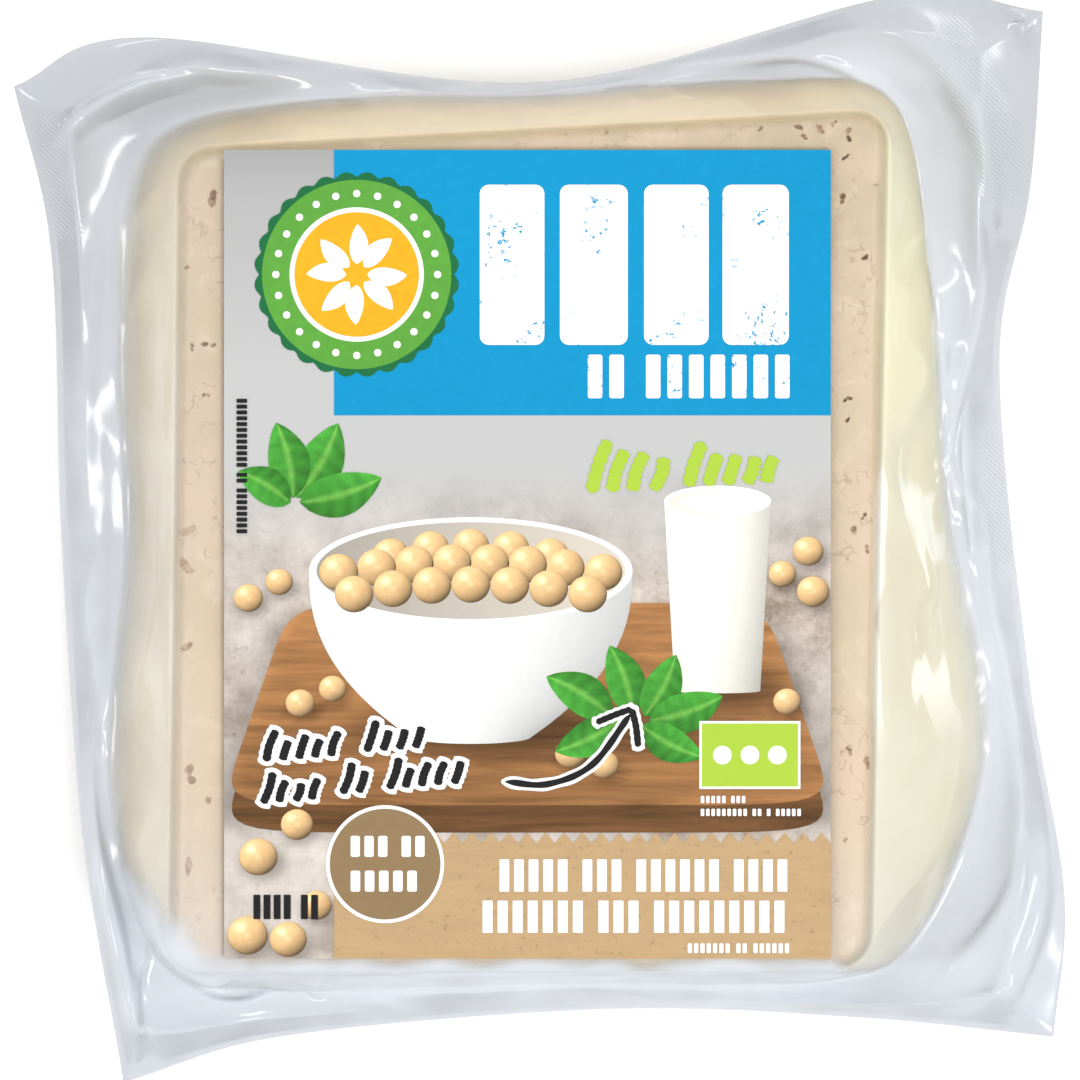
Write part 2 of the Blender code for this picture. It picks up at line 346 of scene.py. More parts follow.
def deselect_all():
    if bpy.context.object and bpy.context.object.mode != "OBJECT":
        bpy.ops.object.mode_set(mode="OBJECT")
    bpy.ops.object.select_all(action="DESELECT")


def activate(piece):
    deselect_all()
    piece.select_set(True)
    bpy.context.view_layer.objects.active = piece


def piece_from(name, points, faces):
    """A piece from points in metres."""
    mesh = bpy.data.meshes.new(name)
    mesh.from_pydata([tuple(point) for point in points], [], faces)
    piece = bpy.data.objects.new(name, mesh)
    bpy.context.scene.collection.objects.link(piece)
    return piece


def face_outwards(piece):
    activate(piece)
    bpy.ops.object.mode_set(mode="EDIT")
    bpy.ops.mesh.select_all(action="SELECT")
    bpy.ops.mesh.normals_make_consistent(inside=False)
    bpy.ops.object.mode_set(mode="OBJECT")


def thicken(piece, thickness):
    """Gives a flat shape a thickness in mm, downwards, which closes it."""
    activate(piece)
    depth = piece.modifiers.new("thickness", "SOLIDIFY")
    depth.thickness = thickness * MM
    depth.offset = -1.0
    bpy.ops.object.modifier_apply(modifier=depth.name)


def ring_faces(ring_count, closed_ends):
    """Quads between rings listed one after another, with fans to two poles or joined end to end."""
    index = np.arange(AROUND)
    following = (index + 1) % AROUND
    faces = []
    for number in range(ring_count - 1 + (not closed_ends)):
        inner, outer = number * AROUND, (number + 1) % ring_count * AROUND
        quads = np.column_stack([inner + index, inner + following, outer + following, outer + index])
        faces += quads.tolist()
    if closed_ends:
        first_pole, last_pole = ring_count * AROUND, ring_count * AROUND + 1
        last = (ring_count - 1) * AROUND
        faces += np.column_stack([index, following, np.full(AROUND, first_pole)]).tolist()
        faces += np.column_stack([last + following, last + index, np.full(AROUND, last_pole)]).tolist()
    return faces


def set_values(piece, name, values):
    attribute = piece.data.attributes.new(name, "FLOAT", "POINT")
    attribute.data.foreach_set("value", np.asarray(values, np.float32))


def set_colours(piece, name, colours):
    attribute = piece.data.attributes.new(name, "FLOAT_COLOR", "POINT")
    colours = np.asarray(colours, np.float32)
    full = np.ones((len(colours), 4), np.float32)
    full[:, :3] = colours
    attribute.data.foreach_set("color", full.ravel())


def point_array(piece):
    points = np.empty(len(piece.data.vertices) * 3)
    piece.data.vertices.foreach_get("co", points)
    return points.reshape(-1, 3)


def put_points(piece, points):
    piece.data.vertices.foreach_set("co", np.asarray(points, np.float32).ravel())
    piece.data.update()


def select_edges(piece, wanted):
    """Leaves the piece in edit mode with only the edges selected whose two ends are as wanted."""
    activate(piece)
    bpy.ops.object.mode_set(mode="EDIT")
    bpy.ops.mesh.select_mode(type="EDGE")
    bpy.ops.mesh.select_all(action="DESELECT")
    bpy.ops.object.mode_set(mode="OBJECT")
    for edge in piece.data.edges:
        low, high = (piece.data.vertices[index].co for index in edge.vertices)
        edge.select = wanted(low, high)
    bpy.ops.object.mode_set(mode="EDIT")


def apply_place(piece):
    activate(piece)
    bpy.ops.object.transform_apply(location=True, rotation=True, scale=True)


def finish_piece(piece, material, smooth_angle=None):
    """Gives a finished piece its material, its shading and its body."""
    activate(piece)
    if smooth_angle is not None:
        bpy.ops.object.shade_smooth_by_angle(angle=smooth_angle)
    piece.data.materials.clear()
    piece.data.materials.append(material)
    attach(piece, "root")


def scaled(colour, factor):
    """A colour made darker or lighter, no channel over 1."""
    return tuple(min(1.0, factor * channel) for channel in colour)


class Finish:
    """A material under construction: its nodes are added by name and linked in one call."""

    def __init__(self, name):
        self.material = bpy.data.materials.new(name)
        self.material.use_nodes = True
        self.tree = self.material.node_tree
        self.shader = self.tree.nodes["Principled BSDF"]
        self.output = self.tree.nodes["Material Output"]
        self.place = self.add("ShaderNodeTexCoord").outputs["Object"]

    def add(self, kind, settings=None, **inputs):
        """A node. Settings are its own properties, and inputs are values or sockets to link."""
        node = self.tree.nodes.new(kind)
        for name, value in (settings or {}).items():
            setattr(node, name, value)
        for name, value in inputs.items():
            self.set(node, name.replace("_", " "), value)
        return node

    def set(self, node, name, value):
        socket = node.inputs[int(name)] if name.isdigit() else node.inputs[name]
        if isinstance(value, bpy.types.NodeSocket):
            self.tree.links.new(value, socket)
        elif isinstance(value, (tuple, list)) and len(value) == 3 and socket.type == "RGBA":
            socket.default_value = (*value, 1.0)
        else:
            socket.default_value = value

    def noise(self, scale, detail=3.0, roughness=0.5, stretch=None, distortion=0.0):
        """A noise pattern, scale in repeats to the metre. Stretch is an extra scale for each axis."""
        place = self.place
        if stretch:
            place = self.add("ShaderNodeMapping", Vector=place, Scale=stretch).outputs["Vector"]
        return self.add("ShaderNodeTexNoise", Vector=place, Scale=scale, Detail=detail,
                        Roughness=roughness, Distortion=distortion).outputs["Fac"]

    def fit(self, value, low, high, to_low=0.0, to_high=1.0):
        """A value mapped from one range to another and held inside it."""
        node = self.add("ShaderNodeMapRange", Value=value)
        limits = (("From Min", low), ("From Max", high), ("To Min", to_low), ("To Max", to_high))
        for name, number in limits:
            node.inputs[name].default_value = number
        return node.outputs["Result"]

    def sum(self, operation, first, second):
        node = self.add("ShaderNodeMath", {"operation": operation})
        self.set(node, "0", first)
        self.set(node, "1", second)
        return node.outputs["Value"]

    def mix(self, share, first, second, blend="MIX"):
        node = self.add("ShaderNodeMix", {"data_type": "RGBA", "blend_type": blend})
        self.set(node, "0", share)
        self.set(node, "6", first)
        self.set(node, "7", second)
        return node.outputs[2]

    def cracks(self, scale, width, patch_scale):
        """Painted shade of short curved cracks between cells, only in scattered patches."""
        warp = self.add("ShaderNodeTexNoise", Vector=self.place, Scale=scale * 0.8).outputs["Color"]
        bent = self.add("ShaderNodeMix", {"data_type": "RGBA", "blend_type": "LINEAR_LIGHT"})
        for socket, value in (("0", 1.2 / scale), ("6", self.place), ("7", warp)):
            self.set(bent, socket, value)
        cells = self.add("ShaderNodeTexVoronoi", {"feature": "DISTANCE_TO_EDGE"},
                         Vector=bent.outputs[2], Scale=scale)
        line = self.fit(cells.outputs["Distance"], 0.0, width, 1.0, 0.0)
        patches = self.fit(self.noise(patch_scale, detail=2.0), 0.5, 0.6)
        broken = self.fit(self.noise(scale * 1.1, detail=1.0), 0.52, 0.6)
        return self.sum("MULTIPLY", line, self.sum("MULTIPLY", patches, broken))

    def attribute(self, name, output="Fac"):
        return self.add("ShaderNodeAttribute", {"attribute_name": name}).outputs[output]

    def along(self, axis):
        return self.add("ShaderNodeSeparateXYZ", Vector=self.place).outputs[axis]

    def bump(self, height, strength, distance):
        node = self.add("ShaderNodeBump", Height=height, Strength=strength, Distance=distance)
        return node.outputs["Normal"]

    def shaded(self, colour, name):
        """A colour made darker or lighter by the piece's own attribute."""
        shade = self.attribute(name)
        grey = self.add("ShaderNodeCombineColor", Red=shade, Green=shade, Blue=shade)
        return self.mix(1.0, colour, grey.outputs["Color"], "MULTIPLY")

    def blend(self, share, first, second):
        """A mix of two shaders, by their outputs."""
        node = self.add("ShaderNodeMixShader", Fac=share)
        self.tree.links.new(first, node.inputs[1])
        self.tree.links.new(second, node.inputs[2])
        return node.outputs[0]

    def see_through(self, share, tint):
        """The principled surface over clear space, by how much of it is there."""
        clear = self.add("ShaderNodeBsdfTransparent", Color=tint)
        return self.blend(share, clear.outputs[0], self.shader.outputs[0])

    def surface(self, shader):
        self.tree.links.new(shader, self.output.inputs["Surface"])
        return self.material

    def principled(self, **values):
        for name, value in values.items():
            self.set(self.shader, name.replace("_", " "), value)
        return self.material


# ---------------------------------------------------------------------------------------------
# The stage.

# Each light: its name, its place, its size in metres and its share of the key light's power.
SOFTBOXES = (
    ("key_softbox", (0.5, -0.38, 1.1), (0.32, 0.32), 1.0),
    ("side_strip", (-0.9, -0.15, 0.75), (0.12, 0.6), 0.6),
    ("far_strip", (0.1, 0.95, 0.7), (0.6, 0.1), 0.4),
    ("near_strip", (1.1, 0.05, 0.9), (0.08, 0.7), 0.5),
)
LIGHT_TARGET = (0.0, 0.0, 0.01)
CAMERA_TARGET = (0.0, -0.0001, 0.015)


def aim(item, target):
    item.rotation_euler = (Vector(target) - item.location).to_track_quat("-Z", "Y").to_euler()


class TOFU_OT_stage(Operator):
    """Makes the floor, the soft studio light and the camera above the pack"""

    bl_idname = "tofu_pack.stage"
    bl_label = "Stage"

    def execute(self, context):
        settings = context.scene.stage_settings
        self.make_floor(settings)
        self.make_light(context.scene, settings)
        self.make_camera(context.scene, settings)
        return {"FINISHED"}

    @staticmethod
    def make_floor(settings):
        deselect_all()
        bpy.ops.mesh.primitive_plane_add(size=6.0, location=(0, 0, 0))
        floor = bpy.context.object
        floor.name = "studio_floor"
        finish = Finish("pale_floor")
        finish.principled(Base_Color=tuple(settings.floor), Roughness=1.0, Specular_IOR_Level=0.0)
        floor.data.materials.append(finish.material)

    @staticmethod
    def make_light(scene, settings):
        world = bpy.data.worlds.new("studio")
        world.use_nodes = True
        surround = world.node_tree.nodes["Background"]
        surround.inputs["Color"].default_value = (1, 1, 1, 1)
        surround.inputs["Strength"].default_value = settings.surround
        scene.world = world
        for name, place, size, power_share in SOFTBOXES:
            data = bpy.data.lights.new(name, "AREA")
            data.shape = "RECTANGLE"
            data.size, data.size_y = size
            data.energy = settings.key_power * power_share
            softbox = bpy.data.objects.new(name, data)
            softbox.location = place
            aim(softbox, LIGHT_TARGET)
            scene.collection.objects.link(softbox)

    @staticmethod
    def make_camera(scene, settings):
        data = bpy.data.cameras.new("camera")
        data.sensor_width = 36.0
        data.lens = settings.focal
        data.clip_start, data.clip_end = 0.05, 20.0
        camera = bpy.data.objects.new("camera", data)
        lean = settings.tilt
        target = Vector(CAMERA_TARGET)
        camera.location = target + settings.distance * Vector((0, math.sin(lean), math.cos(lean)))
        camera.rotation_euler = (-lean, 0, 0)
        scene.collection.objects.link(camera)
        scene.camera = camera
        scene.view_settings.view_transform = "Standard"


# ---------------------------------------------------------------------------------------------
# The tofu block.

# Pits and torn places of the front face: across, along, radius and depth, in mm.
FACE_PITS = [
    (-40.6, 42.9, 1.3, 1.3), (-45.0, 42.6, 0.7, 0.6), (-43.2, 24.4, 0.5, 0.5), (-40.9, 24.6, 1.0, 0.8),
    (-43.8, 34.2, 0.5, 0.6), (-41.4, 18.4, 0.6, 0.7), (-44.0, 1.6, 1.2, 0.5), (-43.6, -3.2, 1.6, 0.6),
    (-43.9, -12.8, 1.1, 0.6), (-43.4, -28.6, 1.1, 0.8), (-41.2, -32.0, 0.6, 0.5), (-43.8, -40.4, 1.5, 0.5),
    (37.2, 42.5, 0.9, 1.1), (37.6, 47.8, 0.5, 0.8), (40.1, 35.4, 0.8, 1.0), (41.4, 44.4, 0.4, 0.4),
    (37.9, 17.9, 0.5, 0.8), (37.9, 15.3, 0.45, 0.7), (38.6, 1.6, 0.8, 0.6), (40.3, -0.6, 0.5, 0.5),
    (39.9, 3.4, 0.4, 0.5), (38.2, -25.8, 0.8, 0.5), (40.2, -26.7, 0.9, 0.6), (41.3, -24.2, 0.4, 0.4),
    (37.6, -36.6, 0.5, 0.4), (34.6, 51.0, 0.9, 0.8), (36.2, 52.0, 0.6, 0.6), (38.0, 50.7, 1.0, 0.9),
    (31.4, 51.6, 0.8, 0.8), (32.6, 50.2, 0.6, 0.6), (27.0, 51.2, 0.5, 0.5), (42.3, 51.6, 0.5, 0.5),
    (-28.0, 50.6, 0.7, 0.4), (-10.0, 51.2, 0.8, 0.4), (8.0, 51.4, 0.6, 0.4),
]
PIT_RAGGEDNESS = 0.9
PIT_SEED = 11
PIT_TOP = PACK_HEIGHT - 4.0
# The depth from which a pit shows its full painted shade, in mm.
DEEP_PIT = 0.6
# The gap between the block and the film, and how far in from its edge the block swells, in mm.
BLOCK_CLEARANCE = 0.3
BELLY_REACH = 5.0
WARM_CURD = (0.60, 0.44, 0.32)
PALE_CURD = (0.67, 0.56, 0.415)
LEFT_CURD = (0.55, 0.43, 0.315)
CRACK_PAINTED_SHADE = (0.36, 0.25, 0.15)
SPECK_COLOUR = (0.38, 0.27, 0.16)
# How much of the film's hollow the curd fills on each side: upper, right, lower, left.
SIDE_FILLS = (1.0, 0.3, 0.7, 0.9)


def torn_pits():
    """Every pit as a few smaller ones that run together: middle, half axes, turn and depth."""
    chance = random.Random(PIT_SEED)
    pits = []
    for x, y, radius, depth in FACE_PITS:
        turn = chance.uniform(0, math.pi)
        for _ in range(3):
            away = chance.uniform(-0.8, 0.8) * radius
            pits.append((
                x + away * math.cos(turn), y + away * math.sin(turn), radius * chance.uniform(0.3, 0.6),
                radius * chance.uniform(0.14, 0.3), turn + chance.uniform(-0.9, 0.9),
                depth * chance.uniform(0.5, 1.0)))
    return pits


class TOFU_OT_block(Operator):
    """Makes the block of pressed tofu, with its rounded uneven edges and its pits"""

    bl_idname = "tofu_pack.block"
    bl_label = "Tofu block"

    def execute(self, context):
        settings = context.scene.tofu_settings
        block = self.rough_block(settings)
        self.fill_hollow(block, settings.belly)
        self.cut_pits(block)
        self.roughen(block)
        finish_piece(block, self.finish(settings), math.radians(60))
        return {"FINISHED"}

    @staticmethod
    def rough_block(settings):
        """A cube at the block's size, its corners moved and its edges rounded, cut into even cells."""
        shift = pack_shift(ring_through(RIM_SIDES, smooth_corners=False))
        deselect_all()
        bpy.ops.mesh.primitive_cube_add(size=1.0, location=(0, 0, 0))
        block = bpy.context.object
        block.name = "tofu_block"
        block.scale = (
            BLOCK_WIDTH - 2 * BLOCK_CLEARANCE, BLOCK_LENGTH - 2 * BLOCK_CLEARANCE,
            PACK_HEIGHT - 2 * BLOCK_CLEARANCE)
        block.location = (*BLOCK_CENTRE, PACK_HEIGHT / 2)
        apply_place(block)
        put_points(block, (uneven(point_array(block)) + shift) * MM)
        for upright, radius in ((True, BLOCK_CORNER * MM), (False, settings.edge_radius)):
            select_edges(block, lambda low, high: (abs(low.z - high.z) > MM) == upright)
            bpy.ops.mesh.bevel(offset=radius, segments=6, affect="EDGES")
            bpy.ops.object.mode_set(mode="OBJECT")
        remesh = block.modifiers.new("even_cells", "REMESH")
        remesh.mode = "VOXEL"
        remesh.voxel_size = settings.voxel
        bpy.ops.object.modifier_apply(modifier=remesh.name)
        return block

    @staticmethod
    def fill_hollow(block, belly):
        """Swells the sides into the film's hollow, so that the upper side's curd shows from above."""
        root = ring_through(ROOT_SIDES, smooth_corners=True)
        shift = pack_shift(ring_through(RIM_SIDES, smooth_corners=False))
        front, back = edge_rings(PACK_HEIGHT, upward=1)[-1], edge_rings(0.0, upward=-1)[-1]
        tree = kdtree.KDTree(AROUND)
        for step, place in enumerate(front):
            tree.insert((place[0], place[1], 0), step)
        tree.balance()
        powers = 1 / round_pack(WALL_SWEEPS)
        fills = np.interp(np.arange(AROUND) / SIDE_STEPS, (0.1, 0.9, 1.1, 1.9, 2.1, 2.9, 3.1, 3.9),
                          np.repeat(SIDE_FILLS, 2), period=4)
        points = point_array(block) / MM - shift
        for point in points:
            _, step, distance = tree.find((point[0], point[1], 0))
            edge = front[step] if point[2] > root[step, 2] else back[step]
            rise = np.clip((point[2] - root[step, 2]) / (edge[2] - root[step, 2]), 0, 1)
            near = max(0.0, 1 - distance / BELLY_REACH)
            reach = belly * fills[step] * (1 - rise ** powers[step]) * near
            point[:2] += reach * (root[step] - front[step])[:2]
        put_points(block, (points + shift) * MM)

    @staticmethod
    def cut_pits(block):
        """Splits the cells round each pit and pushes them in, with a ragged rim."""
        shift = pack_shift(ring_through(RIM_SIDES, smooth_corners=False))
        pits = np.array(torn_pits())
        pits[:, :2] += shift[:2]
        shape = bmesh.new()
        shape.from_mesh(block.data)
        layer = shape.verts.layers.float.new("pit")
        for _ in range(3):
            edges = [edge for edge in shape.edges if edge.verts[0].co.z > PIT_TOP * MM]
            middles = np.array([(edge.verts[0].co + edge.verts[1].co).xy for edge in edges]) / 2 / MM
            away = np.abs(middles[:, None] - pits[None, :, :2]).max(axis=2)
            near = (away < pits[:, 2] + 0.4).any(axis=1)
            edges = [edge for edge, close in zip(edges, near) if close]
            bmesh.ops.subdivide_edges(shape, edges=edges, cuts=1, use_grid_fill=True)
        bmesh.ops.triangulate(shape, faces=[face for face in shape.faces if len(face.verts) > 4])
        for vertex in shape.verts:
            if vertex.co.z < PIT_TOP * MM:
                continue
            away = np.array(vertex.co.xy) / MM - pits[:, :2]
            cos, sin = np.cos(pits[:, 4]), np.sin(pits[:, 4])
            along, across = away[:, 0] * cos + away[:, 1] * sin, away[:, 1] * cos - away[:, 0] * sin
            ragged = noise.noise(Vector((vertex.co.x, vertex.co.y, 0)) / (0.35 * MM))
            spread = (along / pits[:, 2]) ** 2 + (across / pits[:, 3]) ** 2 + PIT_RAGGEDNESS * ragged
            depth = float((pits[:, 5] * np.clip(1.15 - spread, 0, 1)).max())
            vertex.co.z -= depth * MM
            # The pit's share of its full depth, which drives the painted shade in the pit.
            vertex[layer] = min(1.0, depth / DEEP_PIT)
        shape.to_mesh(block.data)
        shape.free()

    @staticmethod
    def roughen(block):
        """Slow waves and the fine grain of the curd."""
        points = point_array(block)
        normals = np.empty_like(points).ravel()
        block.data.vertices.foreach_get("normal", normals)
        normals = normals.reshape(-1, 3)
        lift = [
            0.16 * noise.noise(Vector(point) / (14 * MM))
            + 0.05 * noise.noise(Vector(point) / (2.2 * MM)) - 0.12
            for point in points
        ]
        put_points(block, points + normals * np.array(lift)[:, None] * MM)

    @staticmethod
    def finish(settings):
        """Pressed curd, mottled and cracked, with painted shade: darker towards the top, in its pits and in
        its cracks.
        """
        finish = Finish("pressed_tofu")
        # Painted shade: the colour runs to the darker shade colour towards the top edge.
        upper = finish.fit(finish.along("Y"), -0.04, 0.055)
        blotch = finish.noise(55.0, detail=3.0, roughness=0.6)
        toned = finish.sum("ADD", upper, finish.fit(blotch, 0.3, 0.7, -0.25, 0.25))
        colour = finish.mix(toned, tuple(settings.colour), tuple(settings.shade))
        warm = finish.fit(finish.noise(90.0, detail=3.0, roughness=0.6), 0.48, 0.66, 0.0, 0.6)
        colour = finish.mix(warm, colour, WARM_CURD)
        clouds = finish.noise(160.0, detail=4.0, roughness=0.7, distortion=0.8)
        colour = finish.mix(finish.fit(clouds, 0.54, 0.70, 0.0, 0.5), colour, PALE_CURD)
        left = finish.fit(finish.along("X"), -0.038, -0.05, 0.0, 0.5)
        colour = finish.mix(left, colour, LEFT_CURD)
        # Painted shade: dark crack lines painted into the curd, with no cut in the surface.
        cracks = finish.cracks(420.0, 0.07, 90.0)
        colour = finish.mix(finish.sum("MULTIPLY", cracks, 0.75), colour, CRACK_PAINTED_SHADE)
        specks = finish.fit(finish.noise(1300.0, detail=2.0, roughness=0.7), 0.70, 0.78, 0.0, 0.4)
        colour = finish.mix(specks, colour, SPECK_COLOUR)
        # Painted shade in the pits: the deeper the pit, the darker its colour.
        pit = finish.attribute("pit")
        torn = finish.fit(pit, 0.0, 0.8, 0.0, 0.8)
        colour = finish.mix(torn, colour, scaled(settings.pit_painted_shade, 1.15))
        colour = finish.mix(finish.fit(pit, 0.7, 1.2, 0.0, 0.7), colour, tuple(settings.pit_painted_shade))
        grain = finish.noise(700.0, detail=3.0, roughness=0.7)
        return finish.principled(
            Base_Color=colour,
            Roughness=finish.fit(blotch, 0.3, 0.7, 0.42, 0.6),
            Normal=finish.bump(grain, 0.4, 0.3 * MM),
        )


# ---------------------------------------------------------------------------------------------
# The pouch and the liquid.

# Folds of the film: height, half width and the points along it, in mm. A fold's height is out of
# the surface. They are sharper on one flank than on the other where lean isn't 0.
FOLDS = [
    # The upper left corner turns down along a fold, with a second one behind it.
    (1.5, 1.3, 0.5, [(-63.5, 47.6), (-58.0, 52.4), (-50.6, 56.7), (-41.1, 58.2)]),
    (0.5, 0.8, 0.0, [(-40.5, 61.9), (-36.5, 61.2), (-33.6, 59.0)]),
    (0.6, 1.1, 0.3, [(-49.0, 57.2), (-43.0, 59.4), (-38.0, 58.4), (-20.0, 58.0)]),
    # The upper right web is pulled towards its tip.
    (0.9, 0.9, 0.4, [(10.0, 57.6), (20.0, 59.4), (28.0, 60.6), (39.0, 63.9)]),
    (0.7, 0.8, -0.4, [(26.0, 59.8), (33.0, 60.0), (40.0, 57.4), (46.0, 52.0)]),
    (1.0, 0.7, 0.4, [(57.6, 66.2), (59.6, 64.4), (61.6, 60.6)]),
    (0.9, 1.6, 0.0, [(43.0, 64.5), (50.0, 59.0), (54.5, 50.0), (56.0, 38.0)]),
    # The right side, from the waist down.
    (0.9, 1.0, 0.5, [(54.0, 46.0), (54.6, 38.0), (54.9, 30.0), (52.5, 19.0), (50.0, 8.0)]),
    (0.6, 0.8, -0.4, [(53.6, 20.0), (52.6, 12.0), (53.4, 2.0), (54.0, -3.0)]),
    (0.8, 1.2, 0.4, [(50.5, 12.0), (51.8, 6.5), (55.0, 4.0)]),
    (0.9, 1.1, 0.5, [(55.6, 3.0), (56.3, -8.0), (58.6, -20.0), (59.8, -33.0), (58.0, -43.0)]),
    (1.0, 1.4, -0.4, [(60.0, -38.0), (58.0, -44.5), (54.0, -50.0), (50.0, -53.6)]),
    (1.1, 1.3, 0.4, [(62.4, -34.0), (62.6, -44.0), (60.6, -52.0), (57.4, -58.0)]),
    (0.8, 1.0, 0.2, [(48.5, -59.0), (53.0, -58.2), (57.0, -56.0), (60.5, -58.0)]),
    # Drips of liquid held under the film at the right.
    (0.6, 0.6, -0.4, [(46.6, 4.0), (47.4, -4.0), (46.8, -11.0), (47.6, -17.0)]),
    (0.5, 0.6, 0.4, [(49.4, 12.0), (50.2, 3.0), (49.6, -6.0)]),
    (0.5, 0.5, 0.4, [(44.4, -6.0), (44.8, -14.0), (44.2, -20.0)]),
    (0.5, 0.8, 0.3, [(51.0, -24.0), (50.2, -32.0), (47.8, -39.0)]),
    # The lower edge.
    (0.7, 0.8, 0.4, [(-45.0, -54.6), (-41.5, -57.0), (-37.0, -57.4), (-31.5, -55.6), (-27.0, -58.4)]),
    (0.5, 0.6, 0.0, [(-38.4, -53.4), (-40.0, -54.6), (-43.2, -54.2)]),
    (0.4, 0.8, 0.0, [(-24.0, -58.0), (-20.0, -57.4), (-16.0, -58.8)]),
    (0.6, 1.6, 0.3, [(10.0, -57.4), (24.0, -57.8), (38.0, -57.4)]),
    # The lower left corner and the left side.
    (1.0, 1.2, 0.5, [(-49.0, -50.0), (-50.6, -56.0), (-50.0, -62.5)]),
    (1.2, 1.4, 0.5, [(-56.4, -24.0), (-55.6, -36.0), (-52.6, -49.0), (-50.8, -60.0), (-51.4, -66.0)]),
    (0.7, 1.3, -0.4, [(-55.0, -1.0), (-56.6, -8.0), (-55.6, -16.0), (-54.6, -24.0)]),
    (0.5, 1.8, 0.3, [(-55.0, 38.0), (-56.6, 24.0), (-57.0, 10.0), (-56.0, -2.0)]),
]
# Bulges and dents where the liquid holds the film off the block: across, along, radius, height.
BULGES = [
    (47.0, 21.0, 4.2, 1.4), (48.5, 31.0, 4.0, 0.8), (49.0, -5.0, 4.6, 1.4), (50.5, -14.0, 4.4, 1.2),
    (50.0, -27.0, 6.0, 1.4), (49.5, -38.0, 5.0, 0.9), (46.5, 9.0, 2.8, -0.5),
    (-50.0, -18.0, 4.0, 0.7), (-50.0, -38.0, 4.5, 0.9), (-50.0, 12.0, 4.0, 0.5), (-30.0, 54.8, 4.0, 0.5),
    (12.0, 56.0, 5.0, 0.4), (35.0, 56.6, 4.0, 0.5), (-42.0, -54.6, 2.4, 0.5), (20.0, -55.0, 3.0, 0.3),
]
PLEAT_COUNT = 26
PLEAT_SEED = 5
RUFFLE_SEED = 23
RIB_PITCH = 0.43
RIB_SLANT = math.radians(47)
# Where the sealing bar's fine ribs show: half width and the points along the band, in mm.
RIB_BANDS = [
    (3.2, [(48.5, 64.5), (53.5, 58.0), (57.3, 49.0), (58.6, 40.0)]),
    (2.4, [(57.6, 15.0), (57.4, 6.0), (58.4, -6.0)]),
    (2.0, [(-60.6, 54.6), (-60.5, 46.0), (-59.4, 36.0)]),
]


def distance_to(line, points):
    """Each point's distance to a line in plan, its share along it, and its side."""
    nearest = np.full(len(points), 1e9)
    share = np.zeros(len(points))
    side = np.ones(len(points))
    count = len(line) - 1
    for number, (start, end) in enumerate(zip(line, line[1:])):
        span = end - start
        away = points - start
        t = np.clip(away @ span / (span @ span), 0, 1)
        offset = away - t[:, None] * span
        distance = np.hypot(offset[:, 0], offset[:, 1])
        closer = distance < nearest
        nearest[closer] = distance[closer]
        share[closer] = (number + t[closer]) / count
        side[closer] = np.sign(span[0] * away[closer, 1] - span[1] * away[closer, 0])
    return nearest, share, side


def fold_profiles(points):
    """Each fold's height and its profile at these places in plan: 1 on its crest."""
    for height, half_width, lean, places in FOLDS:
        nearest, share, side = distance_to(smooth_line(places, steps=8), points)
        profile = np.exp(-(nearest / (half_width * (1 - lean * side))) ** 2)
        yield height, profile * np.sin(math.pi * np.clip(share, 0.02, 0.98)) ** 0.6


def fold_lift(points):
    """How far the folds and bulges lift the film at these places in plan."""
    lift = sum(height * profile for height, profile in fold_profiles(points))
    for x, y, radius, height in BULGES:
        away = np.hypot(points[:, 0] - x, points[:, 1] - y) / radius
        lift += height * np.exp(-away ** 2)
    return lift


def crest_whitening_and_glint(points):
    """How near to the crest of a fold each place is, for the whitening of creased film and a painted
    highlight along the crest.
    """
    return sum(min(1.0, height) * profile ** 2 for height, profile in fold_profiles(points))


def pleats():
    """Short pleats that run outwards from the block's edge, more of them near the corners."""
    chance = random.Random(PLEAT_SEED)
    found = []
    for _ in range(PLEAT_COUNT):
        corner = chance.randrange(4)
        step = corner * SIDE_STEPS + chance.gauss(0, 0.2) * SIDE_STEPS
        found.append((step % AROUND, chance.uniform(1.2, 3.2), chance.uniform(0.08, 0.32),
                      chance.uniform(0.2, 0.8), chance.uniform(-6, 6)))
    return found


def pleat_lift(reach):
    """Lift of each step's point at a reach from the block: 0 at its edge, 1 at the root, 2 at the rim."""
    lift = np.zeros(AROUND)
    steps = np.arange(AROUND)
    for place, half_width, height, middle, skew in pleats():
        away = (steps - place - skew * (reach - middle) + AROUND / 2) % AROUND - AROUND / 2
        run = math.exp(-((reach - middle) / 0.45) ** 2)
        lift += height * run / np.cosh(away / half_width) ** 2
    return lift


def ruffle_lift(share):
    """The slack of the skirt between its seal and its rim."""
    chance = random.Random(RUFFLE_SEED)
    turn = np.arange(AROUND) / AROUND * 2 * math.pi
    lift = np.zeros(AROUND)
    for waves in (9, 14, 23, 37):
        lift += chance.uniform(0.6, 1.2) / waves * np.sin(waves * turn + chance.uniform(0, 6.28))
    return 2.2 * lift * math.sin(math.pi * min(1.0, share * 0.75 + 0.05))


def skin_normals(grid):
    """Normals of a grid of rings, pointing up on the front."""
    across = np.gradient(grid, axis=0)
    around = (np.roll(grid, -1, axis=1) - np.roll(grid, 1, axis=1)) / 2
    normals = np.cross(across, around)
    length = np.linalg.norm(normals, axis=2, keepdims=True)
    return normals / np.maximum(length, 1e-9)


def slow_noise(points, size, height):
    return np.array([height * noise.noise(Vector(point) / size) for point in points])


